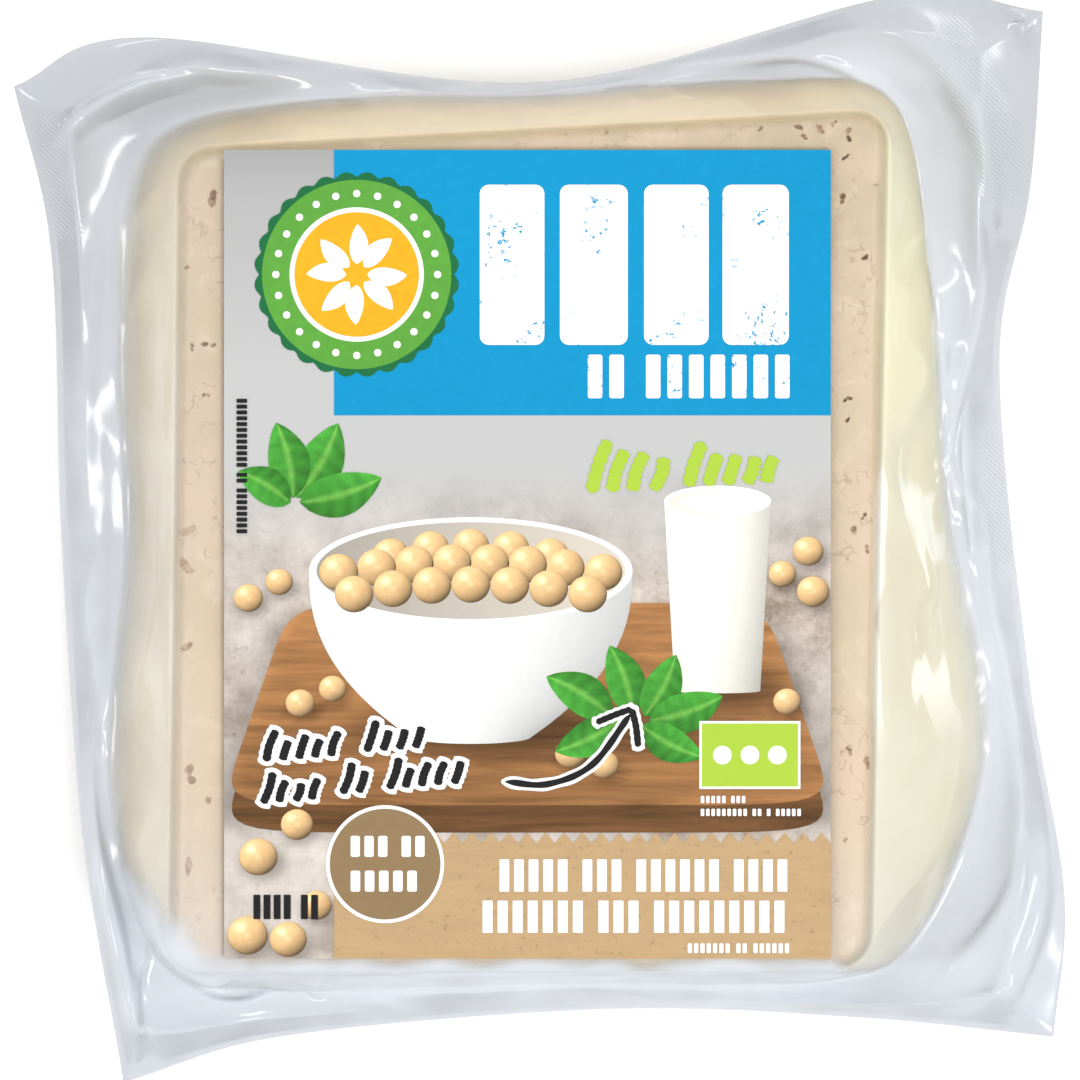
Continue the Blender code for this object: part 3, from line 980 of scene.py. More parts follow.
class Pouch:
    """The film's shape: its rings on the front and on the back, and what lies between them."""

    def __init__(self, settings):
        self.settings = settings
        self.root = ring_through(ROOT_SIDES, smooth_corners=True)
        self.rim = ring_through(RIM_SIDES, smooth_corners=False)
        self.shift = pack_shift(self.rim)
        self.half = settings.skirt_thickness / MM / 2

    def skirt(self):
        """The middle of the sealed skirt, folded and ruffled, from the root outwards."""
        rings = []
        for step in range(SKIRT_STEPS + 1):
            share = step / SKIRT_STEPS
            ring = skirt_ring(self.root, self.rim, share)
            fade = min(1.0, share * 6)
            ring[:, 2] += self.settings.fold_scale * fold_lift(ring[:, :2])
            ring[:, 2] += fade * (ruffle_lift(share) + pleat_lift(1 + share))
            ring[:, 2] += slow_noise(ring, 8.0, 0.28 * fade) + slow_noise(ring, 3.2, 0.07 * fade)
            rings.append(ring)
        return rings

    def front_wall(self):
        """The film from the block's front edge to the root, folded and bulged outwards."""
        edge = edge_rings(PACK_HEIGHT, upward=1)[-1]
        rings = [edge, *wall_rings(edge, self.root, WALL_STEPS), self.root.copy()]
        grid = np.stack(rings)
        normals = -skin_normals(grid)
        normals[normals[:, :, 2] < 0] *= -1
        out = []
        for step, ring in enumerate(rings):
            share = step / WALL_STEPS
            fade = min(1.0, share * 2.2)
            lift = self.settings.fold_scale * fold_lift(ring[:, :2]) * fade
            lift += pleat_lift(share) * fade + slow_noise(ring, 8.0, 0.3 * math.sin(math.pi * share))
            blend = min(1.0, max(0.0, (share - 0.6) / 0.4))
            direction = normals[step] * (1 - blend) + np.array([0, 0, 1.0]) * blend
            out.append(ring + direction * lift[:, None])
        return out

    def back_wall(self, skirt_root):
        edge = edge_rings(0.0, upward=-1)[-1]
        rings = [edge, *wall_rings(edge, self.root, BACK_WALL_STEPS)]
        out = []
        for step, ring in enumerate(rings):
            share = (step / BACK_WALL_STEPS) ** 1.5
            lift = (skirt_root - self.root) * share ** 2
            lift[:, 2] -= pleat_lift(share) * share * 0.7
            out.append(ring + lift)
        return out

    def rings(self):
        """Every ring of the closed pouch, from the middle of its back to the middle of its front."""
        skirt = self.skirt()
        half = np.array([0, 0, self.half])
        front_wall, back_wall = self.front_wall(), self.back_wall(skirt[0])
        back = [*face_rings(0.0, SOFT_EDGE, BACK_SHARES), *edge_rings(0.0, upward=-1)[:-1], *back_wall]
        back += [ring - half for ring in skirt]
        front = [*face_rings(PACK_HEIGHT, SOFT_EDGE, FACE_SHARES),
                 *edge_rings(PACK_HEIGHT, upward=1)[:-1], *front_wall[:-1]]
        front += [ring + half for ring in skirt]
        return back, front


# How milky the film is at the wall's foot, and how late on the wall it gets so, against the share
# of a turn clockwise from the upper left corner.
FOOT_HAZES = ((0.0, 0.66), (0.12, 0.6), (0.22, 0.62), (0.3, 0.6), (0.48, 0.6), (0.53, 0.66), (1.0, 0.66))
FOOT_POWERS = ((0.0, 2.5), (0.05, 7.0), (0.2, 7.0), (0.3, 14.0), (0.48, 14.0), (0.53, 3.0), (0.75, 3.0),
               (0.82, 9.0), (0.95, 7.0), (1.0, 2.5))
# The lower edge of what shows clearly of the block: below this line the film is milky.
MILK_LINE = ((-55.0, -34.0), (-50.0, -39.0), (-45.0, -43.5), (-40.0, -48.0), (-36.0, -50.0), (36.0, -50.0),
             (38.5, -51.8), (44.0, -53.2), (48.0, -56.0))
MILK_DEPTHS = ((-42.0, 7.0), (-37.0, 3.0))
MILK_HAZE = 0.86
# The least gloss, where the film clings to the block.
CLINGING_SHINE = 0.12


def film_rings(back, front):
    """Each ring, how many rings it lies past the block's edge, and how many the wall there has."""
    for rings, face_count, wall_steps in ((back, len(BACK_SHARES), BACK_WALL_STEPS),
                                          (front, len(FACE_SHARES), WALL_STEPS)):
        for number, ring in enumerate(rings):
            yield ring, number - face_count - EDGE_STEPS + 1, wall_steps


def haze_of(settings, back, front):
    """How milky each ring is: clear over the block, cloudy in the sealed skirt."""
    foot, power = round_pack(FOOT_HAZES), round_pack(FOOT_POWERS)
    values = []
    for ring, out, wall_steps in film_rings(back, front):
        wall = np.clip(out / wall_steps, 0, 1)
        face = settings.face_haze * (1 + 3 * smoothstep(-37, -45, ring[:, 0]))
        face = face + 0.16 * smoothstep(-28, -50, ring[:, 1])
        value = face + (foot - face) * wall ** power
        wander = slow_noise(ring, 5.0, 1.2)
        below = smoothstep(0, np.interp(ring[:, 0], *zip(*MILK_DEPTHS)),
                           np.interp(ring[:, 0], *zip(*MILK_LINE)) - ring[:, 1] + wander)
        value = np.maximum(value, MILK_HAZE * below)
        value = value + (settings.skirt_haze - value) * np.clip((out - wall_steps) / 5, 0, 1)
        # Whitening of creased film, partly a painted highlight along the fold crests.
        value = value + 0.25 * crest_whitening_and_glint(ring[:, :2]) * wall ** 8
        values.append(value * (1 + slow_noise(ring, 13.0, 0.16) + slow_noise(ring, 4.0, 0.10)))
    return values


def shine_of(back, front):
    """How glossy each ring is: dull where the film clings to the block, glossy on the skirt."""
    values = []
    for ring, out, wall_steps in film_rings(back, front):
        wall = np.clip(out / wall_steps, 0, 1)
        gloss = np.maximum(wall ** 2, 0.75 * smoothstep(36, 46, ring[:, 0]) * smoothstep(0, 0.25, wall))
        values.append(CLINGING_SHINE + (1 - CLINGING_SHINE) * gloss)
    return values


def painted_light_of(back, front):
    """Painted light: how pale each ring's haze is, most at the foot of the wall, least at the rim's corners.
    """
    sides = 0.55 * np.sin(np.arange(AROUND) / AROUND * 4 * math.pi) ** 2
    return [
        np.maximum((1 - max((out - wall_steps) / SKIRT_STEPS, 0.0)) ** 2.2, sides)
        for _, out, wall_steps in film_rings(back, front)
    ]


def rib_strength(points):
    """How deep the sealing bar's ribs are at these places in plan."""
    strength = np.zeros(len(points))
    for half_width, places in RIB_BANDS:
        nearest, share, _ = distance_to(smooth_line(places, steps=8), points)
        ends = np.clip(np.minimum(share, 1 - share) * 6, 0, 1)
        strength = np.maximum(strength, np.clip(1.4 - nearest / half_width, 0, 1) * ends)
    return strength


class TOFU_OT_pouch(Operator):
    """Makes the clear pouch: the film over the block and the wavy sealed skirt round it"""

    bl_idname = "tofu_pack.pouch"
    bl_label = "Film pouch"

    def execute(self, context):
        settings = context.scene.pouch_settings
        pouch = Pouch(settings)
        back, front = pouch.rings()
        rings = [*back, *reversed(front)]
        middle = np.array([*BLOCK_CENTRE, 0.0])
        poles = [middle, middle + [0, 0, PACK_HEIGHT]]
        points = (np.vstack([*rings, poles]) + pouch.shift) * MM
        film = piece_from("film_pouch", points, ring_faces(len(rings), closed_ends=True))
        face_outwards(film)
        # The pale values are painted light on the film's haze.
        for name, values, at_poles in (
            ("haze", haze_of(settings, back, front), settings.face_haze),
            ("shine", shine_of(back, front), CLINGING_SHINE),
            ("pale", painted_light_of(back, front), 1.0),
        ):
            values = [*values[:len(back)], *reversed(values[len(back):])]
            set_values(film, name, [*np.concatenate(values), at_poles, at_poles])
        ribs = rib_strength(points[:, :2] / MM - pouch.shift[:2])
        skirt_only = np.zeros((len(rings), AROUND))
        skirt_only[len(back) - SKIRT_STEPS - 1:len(back) + SKIRT_STEPS + 1] = 1.0
        set_values(film, "rib", ribs * np.append(skirt_only.ravel(), (0, 0)))
        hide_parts("film_pack")
        film.visible_shadow = False
        finish_piece(film, self.finish(settings), math.radians(80))
        return {"FINISHED"}

    @staticmethod
    def finish(settings):
        """Clear film with a milky haze, fine slanting ribs where it is sealed, and a soft gloss."""
        finish = Finish("clear_film")
        diagonal = finish.add("ShaderNodeVectorMath", {"operation": "DOT_PRODUCT"})
        finish.set(diagonal, "0", finish.place)
        turns = 2 * math.pi / (RIB_PITCH * MM)
        diagonal.inputs[1].default_value = (math.cos(RIB_SLANT) * turns, math.sin(RIB_SLANT) * turns, 0)
        rib = finish.sum("SINE", diagonal.outputs["Value"], 0.0)
        rib = finish.sum("MULTIPLY", rib, finish.attribute("rib"))
        milk = finish.sum("ADD", finish.attribute("haze"), finish.sum("MULTIPLY", rib, 0.12))
        milk = finish.fit(milk, 0.0, 0.95, 0.0, 0.95)
        # Painted light and shade: greyer towards the top, paler towards the bottom.
        lower = finish.fit(finish.along("Y"), 0.055, -0.06)
        blue_grey = finish.mix(lower, tuple(settings.upper_milk_painted_shade), tuple(settings.lower_milk_painted_light))
        # Painted light: paler where the pale attribute is high.
        blue_grey = finish.mix(finish.attribute("pale"), blue_grey, tuple(settings.inner_milk_painted_light))
        normal = finish.bump(rib, 1.0, 0.03 * MM)
        finish.principled(Base_Color=blue_grey, Roughness=0.4, Specular_IOR_Level=0.0, Normal=normal)
        gloss = finish.add(
            "ShaderNodeBsdfGlossy", Color=(1.0, 1.0, 1.0), Roughness=settings.gloss_spread, Normal=normal)
        mirrored = finish.add("ShaderNodeFresnel", Normal=normal, IOR=settings.gloss_ior)
        mirrored = finish.sum("MULTIPLY", mirrored.outputs[0], finish.attribute("shine"))
        body = finish.see_through(milk, (0.985, 0.987, 0.99))
        return finish.surface(finish.blend(mirrored, body, gloss.outputs[0]))


# How cloudy the liquid is round the pack, how sharply it ends, and how much curd is in it, against
# the share of a turn clockwise from the upper left corner.
MURK_ROUND = (
    (0.0, 0.7), (0.06, 0.85), (0.2, 0.85), (0.25, 0.9), (0.28, 1.0), (0.5, 1.0), (0.53, 0.8), (0.75, 0.8),
    (0.8, 0.92), (0.95, 0.9), (1.0, 0.7))
CRISP_ROUND = ((0.0, 4.0), (0.25, 6.0), (0.3, 8.0), (0.5, 10.0), (0.56, 5.0), (1.0, 4.0))
CURD_ROUND = ((0.0, 0.75), (0.04, 1.0), (0.2, 1.0), (0.25, 0.55), (0.28, 0.1), (0.5, 0.0), (0.54, 0.3),
              (0.74, 0.4), (0.78, 0.6), (1.0, 0.75))
# How far the liquid stays under the film and inside its root, and how far it reaches into the block.
FILM_GAP = 0.15
TIP_GAP = 0.4
LIQUID_INSET = 3.4
UPPER_LIQUID = (0.76, 0.725, 0.49)
PAINTED_GLINT_COLOUR = (0.90, 0.90, 0.83)
# The curd seen through the liquid is painted paler than the block's own, as painted light on the steep wall
# that would be in shade.
CURD_WITH_PAINTED_LIGHT = (0.80, 0.70, 0.53)
UPPER_CURD_WITH_PAINTED_LIGHT = (0.84, 0.69, 0.43)
CURD_MOTTLE = (0.72, 0.575, 0.41)


class TOFU_OT_liquid(Operator):
    """Makes the cloudy liquid that fills the hollow between the block and the film"""

    bl_idname = "tofu_pack.liquid"
    bl_label = "Liquid"

    def execute(self, context):
        settings = context.scene.liquid_settings
        pouch = Pouch(context.scene.pouch_settings)
        front = pouch.front_wall()
        root = front[-1]
        back = pouch.back_wall(pouch.skirt()[0])
        middle = np.array([*BLOCK_CENTRE, 0.0])
        rings, murk = [], []
        cloudy = settings.murk * round_pack(MURK_ROUND)
        crisp = round_pack(CRISP_ROUND)
        starts = edge_rings(PACK_HEIGHT, upward=1)[3:-1]
        for number, ring in enumerate([*starts, *front[:-1:2]]):
            share = max(0, 2 * (number - len(starts))) / len(front)
            onset = min(1.0, number / len(starts))
            rings.append(ring - self.outward(ring - middle) * FILM_GAP - [0, 0, FILM_GAP])
            murk.append(onset * cloudy * (1 - share ** crisp))
        outward = self.outward(root - middle)
        rings.append(root - outward * TIP_GAP)
        murk.append(cloudy * 0.06)
        for ring in reversed(back[::3]):
            rings.append(ring + [0, 0, FILM_GAP] - outward * FILM_GAP)
            murk.append(cloudy * 0.8)
        for height in (5.0, PACK_HEIGHT / 2, PACK_HEIGHT - 5.0):
            rings.append(block_ring(LIQUID_INSET, height))
            murk.append(cloudy)
        points = (np.vstack(rings) + pouch.shift) * MM
        liquid = piece_from("soy_liquid", points, ring_faces(len(rings), closed_ends=False))
        face_outwards(liquid)
        set_values(liquid, "murk", np.concatenate(murk))
        set_values(liquid, "curd", np.tile(round_pack(CURD_ROUND), len(rings)))
        finish_piece(liquid, self.finish(settings), math.radians(80))
        return {"FINISHED"}

    @staticmethod
    def outward(away):
        """Unit steps outwards in plan, along each point's way from the block's middle."""
        flat = away * [1, 1, 0]
        return flat / np.linalg.norm(flat, axis=1, keepdims=True)

    @staticmethod
    def finish(settings):
        """Cloudy liquid with painted highlights as pale lobes at the right, turning to curd along the upper
        side.
        """
        finish = Finish("cloudy_soy_liquid")
        cloud = finish.fit(finish.noise(60.0, detail=2.0, roughness=0.5), 0.3, 0.7)
        colour = finish.mix(cloud, tuple(settings.colour), tuple(settings.pale))
        upper = finish.fit(finish.along("Y"), -0.005, 0.03)
        colour = finish.mix(upper, colour, UPPER_LIQUID)
        fine = finish.noise(240.0, detail=4.0, roughness=0.6)
        # Painted highlights: pale lobes in a band of heights stand in for glints on the film over the
        # liquid.
        lobes = finish.noise(120.0, detail=2.0, stretch=(1.0, 0.35, 1.0), distortion=0.5)
        lobes = finish.fit(lobes, 0.5, 0.53)
        held = finish.sum("MULTIPLY", finish.fit(finish.along("Y"), -0.026, -0.018),
                          finish.fit(finish.along("Y"), 0.034, 0.026))
        lobes = finish.sum("MULTIPLY", lobes, finish.sum("MULTIPLY", held, 0.8))
        colour = finish.mix(lobes, colour, PAINTED_GLINT_COLOUR)
        # Painted light: the curd is painted paler than the block's, where the steep wall would be in shade.
        upper = finish.fit(finish.along("Y"), 0.035, 0.05)
        curd = finish.mix(upper, CURD_WITH_PAINTED_LIGHT, UPPER_CURD_WITH_PAINTED_LIGHT)
        curd = finish.mix(finish.fit(fine, 0.42, 0.66, 0.0, 0.5), curd, CURD_MOTTLE)
        colour = finish.mix(finish.attribute("curd"), colour, curd)
        finish.principled(Base_Color=colour, Roughness=0.3, Specular_IOR_Level=0.25)
        return finish.surface(finish.see_through(finish.attribute("murk"), (0.99, 0.985, 0.96)))


# ---------------------------------------------------------------------------------------------
# The label. Its print is laid out in millimetres from its own lower left corner.

LABEL_SIZE = (75.0, 100.0)
SHEET_THICKNESS = 0.18
INK_STEP = 0.03
INK_ROOT = 0.02
STROKE_STEPS = 12
LABEL_ROUGHNESS = 0.36
WORN_ROUGHNESS = 0.38
LABEL_SPECULAR = 0.12
# Rounding of printed fields whose corners look sharp, in mm.
SHARP_CORNER = 0.02


def label_low():
    """The label's lower left corner on its lower face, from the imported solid."""
    return np.array(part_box("front_label")[0])


def on_label(points, level):
    """Points of the label, in mm, placed in the frame at the height of a layer of ink."""
    points = np.asarray(points, float).reshape(-1, 2)
    height = SHEET_THICKNESS + INK_STEP * level
    flat = np.column_stack([points, np.full(len(points), height)]) * MM
    return flat + label_low()


def give_ink_depth(piece, level):
    """Turns a flat printed shape into a thin closed layer that reaches into the sheet."""
    thicken(piece, INK_STEP * level + INK_ROOT)


def printed_grid(name, cells, size, middle, level):
    """A flat grid of the label, its size and middle in label millimetres."""
    deselect_all()
    bpy.ops.mesh.primitive_grid_add(
        x_subdivisions=cells[0], y_subdivisions=cells[1], size=1.0,
        location=tuple(on_label([middle], level)[0]))
    grid = bpy.context.object
    grid.name = name
    grid.scale = (size[0] * MM, size[1] * MM, 1.0)
    apply_place(grid)
    return grid


def grid_faces(rows, columns):
    """Quads of a patch whose points are listed row by row."""
    width = columns + 1
    return [(j * width + i, j * width + i + 1, (j + 1) * width + i + 1, (j + 1) * width + i)
            for j in range(rows) for i in range(columns)]


def joined(patches):
    """The points and faces of several patches as one, and any tones that their points carry."""
    points, faces, tones = [], [], []
    for patch_points, patch_faces, *patch_tones in patches:
        start = len(points)
        points += patch_points.tolist()
        faces += [tuple(start + index for index in face) for face in patch_faces]
        for tone in patch_tones:
            tones += tone.tolist()
    return points, faces, tones


def ink_faces(name, points, faces, level):
    """A printed shape from its own points and faces, in label millimetres."""
    piece = piece_from(name, on_label(points, level), faces)
    shape = bmesh.new()
    shape.from_mesh(piece.data)
    for face in shape.faces:
        if face.normal.z < 0:
            face.normal_flip()
    shape.to_mesh(piece.data)
    shape.free()
    return piece


def ink_bars(name, bars, level, rounding, material):
    """Printed bars, each its middle, width and height, with rounded corners."""
    deselect_all()
    for number, (u, v, width, height) in enumerate(bars):
        place = tuple(on_label([(u, v)], level)[0])
        bpy.ops.mesh.primitive_plane_add(size=1.0, location=place)
        if number == 0:
            piece = bpy.context.object
            piece.name = name
            apply_place(piece)
            bpy.ops.object.mode_set(mode="EDIT")
            bpy.ops.mesh.select_all(action="SELECT")
        bpy.ops.transform.resize(value=(width * MM, height * MM, 1.0), center_override=place)
    bpy.ops.mesh.select_all(action="SELECT")
    bpy.ops.mesh.bevel(offset=rounding * MM, segments=4, affect="VERTICES")
    bpy.ops.object.mode_set(mode="OBJECT")
    give_ink_depth(piece, level)
    finish_piece(piece, material)


def ink_disc(name, middle, radius, level, material, scallops=0, scallop_depth=0.0):
    """A printed disc, plain or with a scalloped edge."""
    deselect_all()
    place = tuple(on_label([middle], level)[0])
    bpy.ops.mesh.primitive_circle_add(
        vertices=192 if scallops else 96, radius=radius * MM, fill_type="TRIFAN", location=place)
    piece = bpy.context.object
    piece.name = name
    apply_place(piece)
    if scallops:
        points = point_array(piece)
        away = points[:, :2] - np.array(place[:2])
        turn = np.arctan2(away[:, 1], away[:, 0])
        wave = 1 - scallop_depth * (1 - np.abs(np.sin(turn * scallops / 2)))
        points[:, :2] = np.array(place[:2]) + away * wave[:, None]
        put_points(piece, points)
    give_ink_depth(piece, level)
    finish_piece(piece, material)


def brush_stroke(anchors, half_width, taper=0.35, seed=0):
    """Points and faces of one stroke of a brush, thick and thin by turns and pointed at its ends."""
    shares = np.linspace(0, 1, STROKE_STEPS * (len(anchors) - 1) + 1)
    line = at_shares(smooth_line(anchors), shares)
    along = np.gradient(line, axis=0)
    along /= np.linalg.norm(along, axis=1, keepdims=True)
    across = np.column_stack([-along[:, 1], along[:, 0]])
    share = np.linspace(0, 1, len(line))
    ends = np.clip(np.minimum(share, 1 - share) / 0.06, 0, 1) ** 0.5
    press = 1 - taper * 0.5 * (1 + np.sin(share * 37 + seed)) * 0.6 - taper * 0.4 * np.abs(along[:, 0])
    step = np.linalg.norm(np.gradient(line, axis=0), axis=1)
    bend = np.linalg.norm(np.gradient(along, axis=0), axis=1) / step
    width = half_width * press * (0.25 + 0.75 * ends)
    width = np.minimum(width, 0.85 / np.maximum(bend, 1e-6))[:, None]
    points = np.vstack([line + across * width, line - across * width])
    return points, grid_faces(1, len(line) - 1)


def ink_strokes(name, strokes, level, material):
    """One printed piece from several strokes, neighbours a hair apart in height."""
    levels = [level + 0.1 * (number % 3) for number, stroke in enumerate(strokes) for _ in stroke[0]]
    points, faces, _ = joined(strokes)
    piece = ink_faces(name, points, faces, np.array(levels))
    give_ink_depth(piece, level)
    finish_piece(piece, material)


def ink_finish(name, colour, shift=0.04):
    """Printing ink on film: even in colour, with a slight mottle and a satin gloss."""
    finish = Finish(name)
    mottle = finish.noise(900.0, detail=1.0, roughness=0.6)
    drift = finish.noise(40.0, detail=1.0)
    value = finish.fit(finish.sum("ADD", mottle, drift), 0.7, 1.3, 1 - shift, 1.0)
    tinted = finish.add("ShaderNodeHueSaturation", Color=tuple(colour))
    finish.set(tinted, "Value", value)
    return finish.principled(
        Base_Color=tinted.outputs["Color"],
        Roughness=finish.fit(mottle, 0.3, 0.7, LABEL_ROUGHNESS - 0.04, LABEL_ROUGHNESS + 0.05),
        Specular_IOR_Level=LABEL_SPECULAR,
    )


# The picture: a tray with a bowl of beans, a glass of soy milk, leaves and loose beans.
BOARD_MIDDLE = (37.5, 31.5)
BOARD_REACH = (33.6, 12.5)
BOARD_POWER = 9.0
BOARD_TAPER = 0.13
BOARD_THICKNESS = 3.4
BOWL_MIDDLE = (30.5, 48.0)
BOWL_REACH = (20.0, 6.6)
BOWL_DEPTH = 20.5
GLASS_MIDDLE = (61.0, 56.6)
GLASS_REACH = (6.6, 1.9)
GLASS_DEPTH = 23.5
# Soft shades on the tray and the table: middle, half width, half height and strength.
PICTURE_SHADES = [
    ((32.0, 28.8), (17.0, 4.6), 0.6), ((62.4, 33.4), (8.8, 2.9), 0.55), ((44.0, 29.5), (20.0, 4.5), 0.25),
    ((52.0, 27.4), (8.0, 2.6), 0.35),
]
# Loose beans: across, along and radius.
PICTURE_BEANS = [
    (4.2, 12.6, 2.4), (9.0, 16.6, 2.0), (2.9, 2.9, 2.5), (7.9, 2.4, 2.3), (11.4, 6.6, 1.9),
    (72.2, 50.4, 1.9), (72.8, 45.4, 2.0), (69.0, 47.6, 1.7), (3.0, 44.6, 1.8), (6.8, 46.6, 1.7),
    (42.8, 25.4, 1.9), (47.0, 24.0, 1.8), (9.4, 31.6, 1.8), (13.4, 33.4, 1.7), (69.6, 31.8, 1.7),
]
# The heap in the bowl: each row's height, spread, count and radius.
HEAP_ROWS = [(51.0, 5.2, 5, 2.3), (49.0, 8.6, 8, 2.4), (46.3, 7.6, 7, 2.4)]
BEAN_MIDDLE = (0.80, 0.56, 0.30)
BEAN_COLOUR = (0.80, 0.52, 0.25)
BEAN_SHINE = (0.3, 0.3, 0.28)
LEAF_GREEN = (0.055, 0.29, 0.035)
LEAF_RIB = (0.16, 0.26, 0.06)
CHINA = (0.80, 0.80, 0.79)
BOWL_SHADOW = (0.46, 0.42, 0.36)
GLASS_RIM = (0.9, 0.9, 0.9)
SOY_MILK = (0.84, 0.82, 0.74)
MILK_TOP = (0.86, 0.85, 0.79)
MILK_EDGE = (0.72, 0.69, 0.60)
TABLE_DARK = (0.27, 0.21, 0.16)
TABLE_PALE = (0.62, 0.54, 0.48)
TABLE_FLECK = (0.16, 0.11, 0.075)
TABLE_WORN = (0.60, 0.57, 0.54)
# Each leaf: where it starts, its length, its half width and its direction in degrees.
PICTURE_LEAVES = [
    ((48.0, 30.0), 9.5, 2.5, 150), ((49.0, 29.6), 9.0, 2.3, 205), ((50.6, 30.2), 9.0, 2.4, 110),
    ((52.0, 30.0), 8.5, 2.3, 64), ((52.6, 29.4), 9.5, 2.5, 20), ((51.6, 28.8), 8.5, 2.2, 334),
    ((9.0, 57.0), 10.5, 2.8, 62), ((8.6, 57.0), 9.5, 2.6, 104), ((9.4, 56.4), 10.5, 2.7, 18),
    ((8.2, 56.4), 7.5, 2.2, 150),
]


def board_edge(share_out, drop):
    """One ring of the tray as the picture shows it, narrower at the far side."""
    turn = np.linspace(0, 2 * math.pi, 160, endpoint=False)
    cos, sin = np.cos(turn), np.sin(turn)
    reach = share_out * (np.abs(cos) ** BOARD_POWER + np.abs(sin) ** BOARD_POWER) ** (-1 / BOARD_POWER)
    x = reach * cos * BOARD_REACH[0] * (1 - BOARD_TAPER * reach * sin)
    return np.column_stack([x, reach * sin * BOARD_REACH[1]]) + np.array(BOARD_MIDDLE) - [0, drop]


def board_share(points):
    """How far out on the tray each point lies: 1 on its edge."""
    y = (points[:, 1] - BOARD_MIDDLE[1]) / BOARD_REACH[1]
    x = (points[:, 0] - BOARD_MIDDLE[0]) / BOARD_REACH[0] / (1 - BOARD_TAPER * np.clip(y, -2, 2))
    return (np.abs(x) ** BOARD_POWER + np.abs(y) ** BOARD_POWER) ** (1 / BOARD_POWER)


def foot_shadow(points):
    """The soft shade that the picture's things throw round their feet."""
    shade = np.ones(len(points))
    for (u, v), (half_width, half_height), strength in PICTURE_SHADES:
        away = np.hypot((points[:, 0] - u) / half_width, (points[:, 1] - v) / half_height)
        shade *= 1 - strength * (1 - smoothstep(0.5, 1.3, away))
    for u, v, radius in PICTURE_BEANS:
        away = np.hypot((points[:, 0] - u - 0.5) / radius, (points[:, 1] - v + 0.8) / (radius * 0.8))
        shade *= 1 - 0.45 * (1 - smoothstep(0.6, 1.7, away))
    return shade


def fan_of_rings(rings):
    """Points and faces of a flat shape made of rings of equal counts round a middle point."""
    count = len(rings[0])
    points = [np.mean(rings[0], axis=0)]
    faces = []
    for number, ring in enumerate(rings):
        start = len(points)
        points += list(ring)
        for index in range(count):
            following = (index + 1) % count
            if number == 0:
                faces.append((0, start + index, start + following))
            else:
                inner = start - count
                faces.append((inner + index, start + index, start + following, inner + following))
    return np.array(points), faces


def vessel_patch(middle, reach, depth, narrowing, colour):
    """The front of a bowl or a glass below its rim, its sides shaded away from the light."""
    rows, columns = 16, 40
    s, t = np.meshgrid(np.linspace(-1, 1, columns + 1), np.linspace(0, 1, rows + 1))
    s, t = s.ravel(), t.ravel()
    sag = 0.14 * reach[1] * np.sqrt(np.clip(1 - s ** 2, 0, 1)) * t
    points = np.column_stack([middle[0] + reach[0] * narrowing(t) * s, middle[1] - sag - depth * t])
    shade = 1.02 - 0.30 * np.clip(s + 0.25, 0, 1.25) ** 1.6 - 0.12 * np.clip(-s - 0.55, 0, 1) - 0.16 * t ** 2
    glow = 0.06 * np.exp(-((s + 0.45) / 0.12) ** 2)
    return points, grid_faces(rows, columns), np.array(colour) * (shade + glow)[:, None]


def oval_patch(middle, reach, inner_tone, outer_tone, lean=0.0):
    """An oval such as a rim or the top of a drink, its tone changing outwards and across."""
    turn = np.linspace(0, 2 * math.pi, 72, endpoint=False)
    edge = np.column_stack([reach[0] * np.cos(turn), reach[1] * np.sin(turn)])
    rings, tones = [], [np.array(inner_tone)]
    for share in np.linspace(0.2, 1.0, 7):
        rings.append(np.array(middle) + share * edge)
        tone = np.array(inner_tone) + (np.array(outer_tone) - np.array(inner_tone)) * share ** 2
        tones += list(tone * (1 + lean * share * np.cos(turn))[:, None])
    points, faces = fan_of_rings(rings)
    return points, faces, np.array(tones)


def painted_piece(name, patches, level, material):
    """One printed piece from several patches, whose points carry their own tones."""
    points, faces, tones = joined(patches)
    piece = ink_faces(name, points, faces, level)
    set_colours(piece, "tone", tones)
    give_ink_depth(piece, level)
    finish_piece(piece, material)


def leaf_patch(start, length, half_width, direction):
    """A smooth pointed leaf with a paler middle rib."""
    rows, columns = 14, 8
    angle = math.radians(direction)
    along = np.array((math.cos(angle), math.sin(angle)))
    across = np.array((-along[1], along[0]))
    points, tones = [], []
    for row in range(rows + 1):
        s = row / rows
        width = half_width * (math.sin(math.pi * s ** 0.85) ** 0.75 if 0 < s < 1 else 0.02)
        bend = 0.12 * length * math.sin(math.pi * s * 0.9) * (1 if direction % 2 else -1)
        for column in range(columns + 1):
            t = column / columns * 2 - 1
            tooth = 1 + 0.10 * math.sin(s * 44) * abs(t) ** 3
            points.append(np.array(start) + along * length * s + across * (width * t * tooth + bend * 0.5))
            rib = 1 - min(1.0, abs(t) * 6)
            fold = 0.62 + 0.5 * (0.5 + 0.5 * t) + 0.12 * math.sin(s * 30 + 3 * abs(t))
            green = np.array(LEAF_GREEN) * fold + np.array(LEAF_RIB) * rib * 0.6
            tones.append(green * (0.8 + 0.35 * s))
    return np.array(points), grid_faces(rows, columns), np.array(tones)


